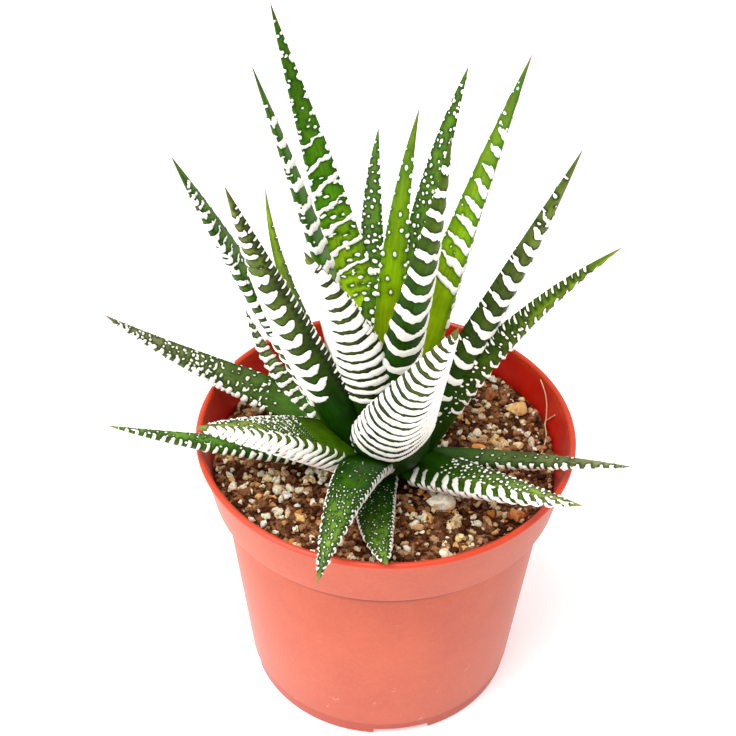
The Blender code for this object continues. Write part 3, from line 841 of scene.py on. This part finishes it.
def leaf_spine(leaf, station):
    """Places along the middle line, walked from the root in short steps."""
    walk = np.linspace(0.0, 1.0, SPINE_STEPS + 1)
    ahead = leaf_heading(leaf, (walk[1:] + walk[:-1]) / 2)[0]
    root = np.array([*around(leaf.azimuth, leaf.root_out), leaf.root_height])
    line = np.vstack([root, root + np.cumsum(ahead * leaf.length / SPINE_STEPS, axis=0)])
    return np.stack([np.interp(station, walk, line[:, axis]) for axis in range(3)], axis=1)


def leaf_half_width(leaf, station):
    narrow = 1.0 - ROOT_NARROWING * np.clip(1.0 - station / ROOT_NARROW_END, 0.0, 1.0)
    return leaf.width / 2 * narrow * (1.0 - station ** leaf.fullness)


def leaf_thickness(leaf, station):
    full = THIN + THICK_PER_WIDTH * leaf.width
    return full * np.clip(1.0 - station ** THICK_TAPER, 0.0, 1.0) ** THICK_POWER


class LeafSkin:
    """A sphere laid over a leaf, and where each of its points came to lie."""

    def __init__(self, leaf):
        rounds = int(ROUND_FACES + ROUND_PER_WIDTH * leaf.width)
        along = int(leaf.length / FACE_LENGTH)
        let_go()
        bpy.ops.mesh.primitive_uv_sphere_add(segments=rounds, ring_count=along, radius=1.0)
        self.thing = bpy.context.object
        self.leaf = leaf
        x, y, z = points_of(self.thing.data).T
        polar = np.arccos(np.clip(-z, -1.0, 1.0)) / math.pi
        at_pole = np.hypot(x, y) <= POLE_REACH
        angle = np.arctan2(np.abs(y), -x)
        even = 1.0 - 2.0 * angle / math.pi
        self.across = np.cos(angle) * (1 - EVEN) + even * EVEN
        self.across = np.where(at_pole, 0.0, self.across)
        self.outer = y > 0
        self.station = np.clip((polar - CAP) / (1.0 - CAP), 0.0, 1.0)
        self.swell = np.sqrt(np.clip(polar / CAP, 0.0, 1.0))
        self.half = leaf_half_width(leaf, self.station)
        self.lay()

    def lay(self):
        """Moves every point to its place on the leaf."""
        place = leaf_spine(self.leaf, self.station)
        _, side, outward = leaf_heading(self.leaf, self.station)
        thick = leaf_thickness(self.leaf, self.station)
        round_share = np.sqrt(np.clip(1.0 - self.across ** 2, 0.0, 1.0))
        depth = np.where(self.outer, OUTER_DEPTH * round_share, INNER_DEPTH * np.sqrt(round_share)) * thick
        reach = self.across * self.half
        points = place + (side * reach[:, None] + outward * depth[:, None]) * self.swell[:, None]
        place_points(self.thing.data, points * MM)


trial = LeafSkin(LEAVES["leaf_front_wide"])
print("a wide leaf has", len(trial.thing.data.polygons), "faces")
bpy.data.objects.remove(trial.thing)

# %% [markdown]
# ## The leaves: warts
# The white warts are raised. Where they stand close they join into bars across the leaf, and along the
# edges they make small teeth. All three are worked out the same way: for every point of the leaf, how
# far it lies inside the nearest wart, in millimetres. The largest of those numbers lifts the skin and,
# kept on the mesh, paints it white. Relief and colour then always agree.

# %% Warts as distances
NOWHERE = -9.0
OUTER, INNER, BOTH = "outer", "inner", "both"
BAR_END = 0.22           # how far across the leaf a bar takes to thin out at its end
BAR_GROWTH = 16.0        # over how many millimetres the bars grow to their full width
BAR_START = 1.5          # and over how many the first ones thin out above the bare part of the leaf
DOT_TABLE, TOOTH_TABLE = 509, 211        # random values in the tables of the dots and of the teeth


def bars(skin, first, last, pitch, share, ends=(-1.2, 1.2), bow=0.0, slope=0.0, tighten=0.0, gaps=0.0,
         turn=0.0, spread=1.0, drift=0.0, bare=(0, 0, 0), lift=0.0, knee=0.0, wander=0.22, seed=1):
    """Bars across the leaf, between two ends. Share is how much of the pitch is white at the left and
    right edges, and turn is where the one gives way to the other, which drifts across as the leaf goes
    on. Bow curves the bars, slope slants them, and lift bends their right part towards the tip, most of
    all near the root and far out from the knee. Tighten closes the pitch up, and gaps break the bars.
    None grows below the line through the three bare heights, at the left edge, middle and right edge."""
    across = skin.across
    shift = drift * (skin.station - 0.5)
    lean = skin.along + 2.0 * bow * (1.0 - skin.station) * (1.0 - across ** 2) - slope * across
    lean = lean - lift * (1.0 - skin.station) * (np.clip(across, 0.0, 1.0) - knee) ** 2
    lean = lean + wander * pitch * (cloud(skin.along / 3.1, across * 1.7 + 9, seed) - 0.5)
    lean = lean + 0.35 * wander * pitch * (cloud(skin.along / 1.7, across * 5.0 + 3, seed + 2) - 0.5)
    travelled = lean - first
    phase = travelled / pitch
    if tighten:
        phase = np.log(np.clip(1.0 - tighten * travelled / pitch, 0.05, 99.0)) / -tighten
    local = pitch - tighten * travelled
    number = np.round(phase)
    apart = np.abs(phase - number) * local
    left, right = share
    white = left + (right - left) * smoothstep(-spread, spread, across - turn - shift)
    white = white * (0.78 + 0.22 * smoothstep(first, first + BAR_GROWTH, lean))
    half = white * local / 2
    patch = cloud(number * 1.37 + 5, across * 2.6 + number * 3.3, seed + 1)
    half = half * np.clip(1.15 - gaps * 2.0 * patch, 0.0, 1.0) * (0.88 + 0.24 * patch)
    start = ends[0] + (shift if ends[0] > -1.0 else 0.0)
    finish = ends[1] + (shift if ends[1] < 1.0 else 0.0)
    taper = np.clip((across - start) / BAR_END, 0, 1) * np.clip((finish - across) / BAR_END, 0, 1)
    taper = taper * np.clip((skin.along - np.interp(across, [-1, 0, 1], bare)) / BAR_START, 0, 1)
    inside = half * np.sqrt(taper) - apart
    inside = np.where(taper <= 0.0, NOWHERE, inside)
    return np.where((phase < -0.5) | (lean > last), NOWHERE, inside)


def dots(skin, first, last, pitch, apart, size, ends=(-1.0, 1.0), chance=1.0, wander=0.22, seed=1, long=1.0):
    """Single warts in staggered rows. Long stretches each one across the leaf."""
    picks = np.random.RandomState(seed).rand(4, DOT_TABLE)
    over = skin.across * skin.half
    row = np.round((skin.along - first) / pitch).astype(int)
    column = np.round(over / apart - 0.5 * (row % 2)).astype(int)
    cell = (row * 31 + column * 17) % DOT_TABLE
    middle_along = first + (row + wander * (picks[0][cell] - 0.5) * 2) * pitch
    middle_over = (column + 0.5 * (row % 2) + wander * (picks[1][cell] - 0.5) * 2) * apart
    gone = np.hypot(skin.along - middle_along, (over - middle_over) / long)
    inside = size * (0.6 + 0.6 * picks[2][cell]) - gone
    share = middle_over / np.maximum(skin.half, 0.2)
    kept = (picks[3][cell] < chance) & (share > ends[0]) & (share < ends[1])
    kept &= (skin.along > first - pitch / 2) & (skin.along < last)
    return np.where(kept, inside, NOWHERE)


def teeth(skin, first, last, pitch, size, side, seed=1, long=1.0):
    """Warts on one edge of the leaf, side -1 or 1. Long stretches each one in towards the middle."""
    picks = np.random.RandomState(seed).rand(2, TOOTH_TABLE)
    number = np.round((skin.along - first) / pitch).astype(int)
    tooth = number % TOOTH_TABLE
    middle = first + (number + 0.18 * (picks[0][tooth] - 0.5)) * pitch
    inwards = (1.0 - side * skin.across) * skin.half
    gone = np.hypot(skin.along - middle, inwards / long)
    inside = size * (0.7 + 0.5 * picks[1][tooth]) - gone
    return np.where((number >= 0) & (skin.along < last), inside, NOWHERE)


def mark(kind, face, *layout, **measures):
    """One group of warts of a leaf: what makes them, the face they are on, and how they are laid out."""
    return kind, face, layout, measures


def edge(*layout, **measures):
    """A group of teeth, which show on both faces."""
    return mark(teeth, BOTH, *layout, **measures)


print("kinds of wart", [kind.__name__ for kind in (bars, dots, teeth)])

# %% [markdown]
# ## The leaves: skin
# Between the warts the skin is green, yellower where the leaf is young, with faint lines that run
# lengthwise. Towards both edges it is darkened by painted shade, for the roundness of the leaf. Close to
# each wart it is darker, as the tissue between close warts is, and with painted shade at the wart's foot.
# The warts are chalky and dull, and the point of the leaf dries to tan. The lines have to follow the leaf,
# so they read a chart of the leaf that is kept on its points: how far across, how far along, and the share
# of the whole length.

# %% Leaf finish
CREAM, CHALK, SHADE_OF_CHALK = colour(250, 242, 222), colour(255, 253, 246), colour(226, 222, 226)
# name: green at the root, in the middle and near the tip, in the gaps between warts, which also serves as
# painted shade near warts and at the leaf's edges, and the dry tip.
# Where the warts are so small that the green shows through, their strength follows.
GREENS = {
    "deep": ((20, 53, 2), (49, 90, 4), (81, 102, 16), (20, 44, 0), (102, 82, 46)),
    "banded": ((26, 66, 4), (62, 82, 18), (96, 112, 40), (20, 31, 5), (95, 88, 48)),
    "mid": ((157, 190, 27), (71, 124, 2), (66, 102, 4), (27, 70, 0), (81, 77, 33)),
    "fresh": ((161, 188, 22), (124, 163, 11), (84, 110, 18), (53, 99, 4), (113, 81, 51)),
    "dark": ((64, 102, 4), (77, 115, 5), (71, 108, 7), (20, 53, 0), (84, 81, 40)),
    "olive": ((37, 66, 4), (70, 92, 11), (102, 128, 18), (27, 46, 2), (157, 99, 70)),
    "grey": ((54, 92, 18), (84, 102, 48), (126, 130, 84), (40, 56, 16), (110, 97, 66), 0.88),
    "shadow": ((22, 53, 9), (70, 113, 24), (110, 146, 51), (27, 60, 7), (128, 117, 73), 0.86),
    "low": ((40, 81, 7), (90, 121, 33), (134, 150, 70), (33, 60, 4), (137, 121, 77)),
    # This finish's lighter greens are a painted sheen, for a leaf that shines.
    "sheen": ((84, 128, 15), (102, 132, 37), (137, 152, 73), (26, 57, 2), (137, 121, 77)),
    "short": ((26, 64, 4), (48, 84, 9), (102, 134, 46), (16, 44, 2), (128, 117, 64), 0.74),
}


def leaf_finish(name, root, middle, top, gap, tip, chalkiness=1.0):
    made, shader, places = new_finish("leaf_" + name, 0.42, Subsurface_Weight=0.06, Specular_IOR_Level=0.12,
                                      Subsurface_Radius=(0.9, 1.0, 0.15), Subsurface_Scale=0.0012)
    chart = places.stored("chart", out="Vector")
    station = chart.node("SeparateXYZ", {}, {"Vector": chart}, out="Z")
    lines = chart.stretched((1.0, 0.07, 0.0)).speckle(0.55, detail=3.0)
    clouds = places.speckle(0.007, detail=4.0, roughness=0.6)
    cells = places.speckle(0.00035, detail=2.0)
    stops = [(0.25, colour(*root)), (0.55, colour(*middle)), (0.85, colour(*top))]
    green = (station + clouds * 0.24 - 0.12).ramp(*stops)
    shade = 0.60 + clouds.step(0.32, 0.68) * 0.5 + lines.step(0.35, 0.7) * 0.30
    green = green.scaled(shade)
    # Painted shade: the green darkens towards both edges of the leaf, for its roundness.
    green = (places.stored("rim").step(0.25, 1.0) * 0.5).mix(green, colour(*gap))
    # Darker where warts crowd, as the tissue between close warts is, and painted shade at each wart's foot.
    green = (places.stored("crowd") * 0.9).mix(green, colour(*gap))
    green = (cells.step(0.62, 0.75) * 0.14).mix(green, colour(*top))
    chalk = places.speckle(0.0011, detail=3.0)
    white = chalk.step(0.25, 0.62).mix(CREAM, CHALK)
    white = (places.speckle(0.006, detail=2.0).step(0.58, 0.75) * 0.35).mix(white, SHADE_OF_CHALK)
    is_wart = places.stored("wart").step(0.40, 0.58)
    skin = (is_wart * chalkiness).mix(green, white)
    dry = station.step(0.95, 1.0) * (0.7 + lines * 0.4)
    skin = dry.mix(skin, colour(*tip))
    relief = cells * 0.35 + lines * 0.35 + chalk * is_wart * 0.5
    dress(shader, skin, 0.36 + is_wart * 0.28 + cells * 0.12, relief, 0.00012, 0.7)
    return made


FINISHES = {name: leaf_finish(name, *shades) for name, shades in GREENS.items()}
print("leaf finishes", sorted(FINISHES))

# %% [markdown]
# ## The leaves: one by one
# No two leaves are marked alike, so each has its own list of bars, dots and teeth, measured in
# millimetres from its root. The young leaves in the middle are smooth low down. The broad outer faces
# carry the dense bars, and the low leaves only dots and toothed edges.

# %% Markings of each leaf
# name: finish, then each group of warts. A group gives what makes it, its face, where along the leaf it
# starts and ends, and its pitch. Then come the white shares of bars, the distance across and size of
# dots, or the size and side of teeth.
MARKS = {
    "leaf_front_striped": ("banded", [
        mark(bars, OUTER, 22.6, 71, 2.85, (1.14, 0.64), bow=1.4, tighten=-0.026, turn=-0.62, spread=0.42,
             drift=2.5, bare=(25, 21, 22), seed=3),
        edge(24, 70, 3.2, 0.4, 1, seed=5),
        mark(dots, INNER, 25, 70, 3.2, 1.8, 0.45, seed=6)]),
    "leaf_front_wide": ("banded", [
        mark(bars, OUTER, 17.5, 73, 3.75, (0.58, 0.76), bow=1.0, lift=22.0, tighten=0.016, turn=0.35,
             spread=0.6, drift=-1.0, seed=7),
        mark(dots, BOTH, 8, 30, 1.7, 1.3, 0.34, ends=(-1.0, -0.8), seed=8),
        mark(dots, INNER, 25, 70, 3.2, 1.9, 0.45, seed=9)]),
    "leaf_front_banded": ("deep", [
        mark(bars, OUTER, 24.2, 90, 5.8, (0.38, 0.66), bow=2.6, tighten=0.016, turn=0.6, spread=0.3, seed=11),
        edge(22, 90, 2.7, 0.45, 1, seed=12),
        mark(dots, INNER, 20, 88, 3.6, 2.0, 0.5, seed=13)]),
    "leaf_left_banded": ("banded", [
        mark(bars, OUTER, 23.6, 70, 5.2, (0.96, 0.46), ends=(-1.2, 0.72), bow=1.7, slope=0.2, lift=4.5,
             wander=0.15, tighten=0.010, turn=-0.25, spread=0.4, gaps=0.04, bare=(21, 25, 32), seed=15),
        mark(bars, OUTER, 71.5, 86, 3.4, (0.66, 0.4), ends=(-1.2, 0.7), bow=1.2, tighten=0.02, turn=-0.36,
             spread=0.4, bare=(71, 71, 71), seed=115),
        edge(26, 88, 2.1, 0.34, 1, seed=16),
        mark(dots, INNER, 20, 88, 3.4, 1.9, 0.5, seed=17)]),
    "leaf_right_banded": ("banded", [
        mark(bars, OUTER, 21.1, 82, 5.7, (0.40, 0.60), ends=(-0.94, 1.2), bow=2.2, slope=-0.4, turn=0.30,
             tighten=0.020, spread=0.6, wander=0.12, seed=19),
        mark(dots, OUTER, 79, 92, 2.6, 1.4, 0.34, chance=0.6, seed=119),
        mark(dots, BOTH, 20, 92, 1.9, 1.0, 0.3, ends=(-1.05, -0.85), chance=0.8, seed=20),
        mark(dots, INNER, 20, 88, 3.6, 2.0, 0.5, seed=21)]),
    "leaf_back_left_tall": ("mid", [
        mark(dots, INNER, 30, 60, 2.2, 2.1, 0.30, long=2.6, wander=0.45, chance=0.7, seed=23),
        mark(bars, INNER, 36.6, 70, 5.2, (0.24, 0.30), bow=-0.4, slope=-1.0, gaps=0.45, wander=0.24, seed=22),
        mark(dots, INNER, 67, 98, 3.4, 1.9, 0.34, long=1.6, wander=0.45, chance=0.7, seed=24),
        edge(30, 95, 4.4, 0.8, -1, seed=25, long=1.3),
        edge(32, 95, 3.8, 0.4, 1, seed=26),
        mark(bars, OUTER, 20.0, 92, 4.4, (0.45, 0.45), gaps=0.3, seed=27)]),
    "leaf_left_tall_thin": ("mid", [
        mark(bars, OUTER, 20.0, 82, 5.2, (0.50, 0.46), ends=(-0.94, 1.2), gaps=0.1, seed=29),
        mark(bars, INNER, 24.0, 82, 5.2, (0.40, 0.40), gaps=0.2, seed=30),
        mark(dots, BOTH, 22, 86, 1.6, 1.0, 0.3, ends=(0.8, 1.1), chance=0.7, seed=32)]),
    "leaf_right_tall": ("fresh", [
        mark(bars, INNER, 41.0, 80, 4.9, (0.48, 0.14), ends=(-1.2, 0.98), bow=-0.5, slope=1.0, gaps=0.1,
             turn=0.3, spread=0.7, drift=-2.2, wander=0.16, tighten=0.018, seed=33),
        edge(36, 66, 4.9, 0.45, 1, seed=35),
        mark(dots, INNER, 78, 92, 2.6, 1.5, 0.26, chance=0.6, seed=134),
        mark(dots, INNER, 38, 91, 2.4, 2.2, 0.3, wander=0.4, chance=0.35, seed=133),
        mark(bars, OUTER, 22.0, 88, 4.8, (0.5, 0.5), gaps=0.15, seed=36)]),
    "leaf_centre_smooth": ("fresh", [
        mark(dots, INNER, 36, 74, 5.0, 2.4, 0.52, wander=0.25, chance=0.85, long=0.75, seed=37),
        edge(34, 70, 3.4, 0.42, -1, seed=38),
        edge(36, 70, 3.4, 0.42, 1, seed=39),
        mark(dots, OUTER, 20, 70, 3.6, 1.8, 0.5, seed=40)]),
    "leaf_back_dark": ("dark", [
        mark(dots, INNER, 34, 85, 2.0, 1.4, 0.36, wander=0.38, chance=0.9, seed=41),
        edge(30, 85, 2.7, 0.45, -1, seed=42),
        edge(31, 85, 2.7, 0.45, 1, seed=43),
        mark(dots, OUTER, 20, 80, 2.8, 1.7, 0.5, seed=44)]),
    "leaf_back_short": ("dark", [
        mark(dots, INNER, 42, 70, 2.2, 1.4, 0.36, wander=0.3, chance=0.85, seed=45),
        mark(dots, INNER, 18, 43, 2.8, 2.0, 0.6, long=1.4, wander=0.3, seed=46),
        edge(20, 64, 2.7, 0.5, -1, seed=47),
        edge(21, 64, 2.7, 0.5, 1, seed=48),
        mark(dots, OUTER, 16, 64, 2.8, 1.7, 0.5, seed=49)]),
    "leaf_left_outer": ("dark", [
        mark(dots, INNER, 26, 62, 2.5, 2.0, 0.40, long=1.5, wander=0.35, chance=0.75, seed=51),
        mark(bars, INNER, 63.0, 84, 2.5, (0.2, 0.38), ends=(-0.3, 1.2), gaps=0.35, wander=0.35, seed=151),
        mark(bars, OUTER, 22.0, 82, 3.4, (0.4, 0.5), gaps=0.4, seed=52),
        edge(24, 82, 2.9, 0.60, 1, seed=53, long=1.4),
        edge(24, 82, 2.8, 0.4, -1, seed=54)]),
    "leaf_right_olive": ("olive", [
        mark(dots, OUTER, 18, 60, 1.8, 1.3, 0.34, wander=0.35, chance=0.85, ends=(-1.0, -0.15), seed=56),
        mark(bars, OUTER, 22.0, 86, 3.85, (0.30, 0.38), ends=(-0.3, 1.2), slope=-3.2, tighten=0.004,
             gaps=0.28, wander=0.35, seed=55),
        edge(20, 80, 3.7, 0.7, 1, seed=57, long=1.2),
        edge(20, 80, 2.1, 0.3, -1, seed=58),
        mark(dots, INNER, 20, 82, 2.6, 1.6, 0.42, seed=59)]),
    "leaf_back_left_thin": ("olive", [
        edge(30, 60, 3.6, 0.25, -1, seed=61),
        mark(dots, OUTER, 20, 60, 3.0, 1.5, 0.35, chance=0.6, seed=62)]),
    "leaf_left_small": ("grey", [
        mark(bars, INNER, 14.0, 44, 2.6, (0.35, 0.5), gaps=0.3, seed=63),
        mark(bars, OUTER, 10.0, 44, 2.6, (0.5, 0.5), gaps=0.2, seed=64),
        edge(12, 44, 2.6, 0.5, 1, seed=65)]),
    "leaf_front_left": ("sheen", [
        mark(bars, INNER, 9.6, 51, 2.9, (0.44, 0.90), ends=(0.14, 1.2), drift=-1.0, lift=26.0, knee=0.42,
             tighten=0.018, turn=0.66, spread=0.34, wander=0.16, seed=67),
        mark(dots, INNER, 24, 51, 0.95, 0.85, 0.32, wander=0.35, ends=(-1.0, -0.5), chance=0.85, seed=68),
        mark(dots, INNER, 26, 51, 1.4, 1.1, 0.28, wander=0.35, ends=(-0.5, 0.2), chance=0.75, seed=168),
        mark(bars, INNER, 22.0, 36, 1.6, (0.24, 0.22), ends=(-0.95, 0.25), slope=-5.0, gaps=0.35,
             wander=0.4, seed=167),
        mark(bars, OUTER, 10.0, 50, 2.2, (0.5, 0.8), slope=2.0, seed=69),
        edge(14, 51, 1.2, 0.32, -1, seed=70)]),
    "leaf_left_long": ("grey", [
        mark(dots, INNER, 27, 46, 1.9, 1.5, 0.34, long=2.6, wander=0.45, chance=0.6, ends=(-0.6, 1.0),
             seed=71),
        mark(dots, INNER, 42, 68, 1.8, 1.3, 0.34, long=1.4, wander=0.4, chance=0.85, seed=171),
        mark(dots, INNER, 24, 46, 1.7, 1.3, 0.26, wander=0.4, chance=0.5, seed=72),
        mark(bars, OUTER, 16.0, 68, 2.6, (0.5, 0.5), gaps=0.35, seed=73),
        edge(26, 67, 2.4, 0.55, 1, seed=74, long=1.3),
        edge(28, 67, 2.2, 0.35, -1, seed=75)]),
    "leaf_left_low": ("shadow", [
        edge(18, 60, 2.1, 0.42, 1, seed=77, long=1.8),
        edge(18, 60, 2.5, 0.36, -1, seed=78),
        mark(dots, INNER, 20, 60, 1.7, 1.3, 0.28, wander=0.4, chance=0.7, seed=79),
        mark(bars, OUTER, 14.0, 60, 2.1, (0.3, 0.3), gaps=0.4, seed=80)]),
    "leaf_front_low": ("short", [
        edge(26, 59, 1.5, 0.30, -1, seed=81),
        edge(15, 59, 1.5, 0.30, 1, seed=82),
        mark(dots, INNER, 20, 34, 1.3, 1.1, 0.20, wander=0.4, chance=0.35, seed=183),
        mark(dots, INNER, 34, 57, 1.15, 0.95, 0.24, long=0.75, wander=0.4, chance=0.8, seed=83),
        mark(bars, OUTER, 12.0, 56, 2.8, (0.5, 0.5), gaps=0.4, seed=84)]),
    "leaf_front_short": ("short", [
        edge(6, 44, 1.4, 0.28, -1, seed=85),
        edge(6, 44, 1.4, 0.28, 1, seed=86),
        mark(dots, INNER, 12, 44, 1.15, 0.95, 0.22, long=0.75, wander=0.4, chance=0.75, seed=87),
        mark(bars, OUTER, 10.0, 42, 2.8, (0.5, 0.5), gaps=0.4, seed=88)]),
    "leaf_right_low": ("low", [
        mark(bars, INNER, 7.0, 54, 3.4, (0.50, 0.26), ends=(-1.2, -0.3), slope=-2.6, tighten=0.004, seed=89),
        mark(dots, INNER, 15, 54, 1.65, 1.25, 0.36, wander=0.4, ends=(-0.45, 1.0), chance=0.88, seed=90),
        edge(9.6, 54, 3.35, 0.55, -1, seed=91),
        edge(16, 54, 1.9, 0.36, 1, seed=92),
        mark(bars, OUTER, 8.0, 52, 3.3, (0.45, 0.4), seed=93)]),
    "leaf_right_smooth": ("grey", [
        edge(16, 55, 2.8, 0.42, -1, long=1.3, seed=94),
        mark(dots, INNER, 16, 54, 2.8, 1.8, 0.3, chance=0.45, seed=95),
        mark(bars, OUTER, 10.0, 54, 3.0, (0.5, 0.4), gaps=0.4, seed=96)]),
    "leaf_back_low": ("dark", [
        mark(dots, INNER, 10, 40, 2.2, 1.6, 0.4, chance=0.7, seed=97),
        edge(6, 40, 2.1, 0.45, -1, seed=98),
        edge(6, 40, 2.1, 0.45, 1, seed=99),
        mark(bars, OUTER, 8.0, 40, 2.9, (0.5, 0.5), gaps=0.25, seed=100)]),
    "leaf_back_right_low": ("dark", [
        mark(dots, INNER, 10, 42, 2.2, 1.6, 0.4, chance=0.7, seed=101),
        edge(6, 42, 2.1, 0.45, -1, seed=102),
        edge(6, 42, 2.1, 0.45, 1, seed=103),
        mark(bars, OUTER, 8.0, 42, 2.9, (0.5, 0.5), gaps=0.25, seed=104)]),
}
print("leaves marked", len(MARKS))

# %% Build the leaves
WART_HEIGHT = 0.42               # how far a wart stands out of the skin
WART_RISE = (-0.1, 0.42)         # how far inside its edge it starts to rise and is at full height
EDGE_SOFTNESS = 0.5              # over how many millimetres its white gives way to green
CROWDED_AND_SHADED = (-0.9, -0.05)          # how near a wart the skin between starts to darken and is darkest, as darker tissue and painted shade at its foot
TIP_FADE = (0.94, 0.985)         # the stations between which the warts die away
RUFFLE, RUFFLE_SIZE = 0.55, 0.9  # how uneven the outlines of the warts are, and over what distance


def warts_on(skin, groups):
    """How far every point lies inside its nearest wart."""
    inside = np.full(len(skin.across), NOWHERE)
    for kind, face, layout, measures in groups:
        found = kind(skin, *layout, **measures)
        if face != BOTH:
            found = np.where(skin.outer == (face == OUTER), found, NOWHERE)
        inside = np.maximum(inside, found)
    return inside


def grow_leaf(name, groups):
    skin = LeafSkin(LEAVES[name])
    mesh = skin.thing.data
    over = skin.across * skin.half
    along = skin.station * skin.leaf.length
    skin.along = along + RUFFLE * (cloud(along / RUFFLE_SIZE, over / RUFFLE_SIZE, 5) - 0.5)
    inside = warts_on(skin, groups)
    fade = 1.0 - smoothstep(*TIP_FADE, skin.station)
    normals = np.empty(len(mesh.vertices) * 3)
    mesh.vertex_normals.foreach_get("vector", normals)
    lift = WART_HEIGHT * smoothstep(*WART_RISE, inside) * fade
    place_points(mesh, points_of(mesh) + normals.reshape(-1, 3) * lift[:, None] * MM)
    keep_value(mesh, "wart", np.clip(0.5 + inside / EDGE_SOFTNESS, 0.0, 1.0) * fade)
    keep_value(mesh, "crowd", smoothstep(*CROWDED_AND_SHADED, inside) * fade)
    keep_value(mesh, "rim", np.abs(skin.across))
    keep_value(mesh, "chart", np.stack([skin.across * skin.half, skin.along, skin.station], axis=1))
    bpy.ops.object.shade_smooth()
    return skin.thing


for name, (finish, groups) in MARKS.items():
    slot = "banded_leaf" if finish == "banded" else "leaf"
    settle(grow_leaf(name, groups), name + "_skin", slot, FINISHES[finish], name)
print("leaf faces", sum(len(PIECES[name + "_skin"].data.polygons) for name in MARKS))

# %% [markdown]
# ## Last checks
# Each leaf and stone should fill the box of the solid that it replaces. The differences are printed, so
# that a piece that has strayed shows up at once.

# %% Compare with the solids
bpy.context.view_layer.update()
worst = 0.0
for name, piece in PIECES.items():
    node = name.replace("_skin", "").replace("_worn", "")
    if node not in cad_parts:
        continue
    low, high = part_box(node)
    points = points_of(piece.data)
    off = max(np.abs(points.min(axis=0) - low).max(), np.abs(points.max(axis=0) - high).max())
    worst = max(worst, off)
    print(f"{name}: {off / MM:.2f} mm from its solid's box")
triangles = sum(sum(len(face.vertices) - 2 for face in piece.data.polygons) for piece in PIECES.values())
print("pieces", len(PIECES), "triangles", triangles, "largest difference", round(worst / MM, 2), "mm")
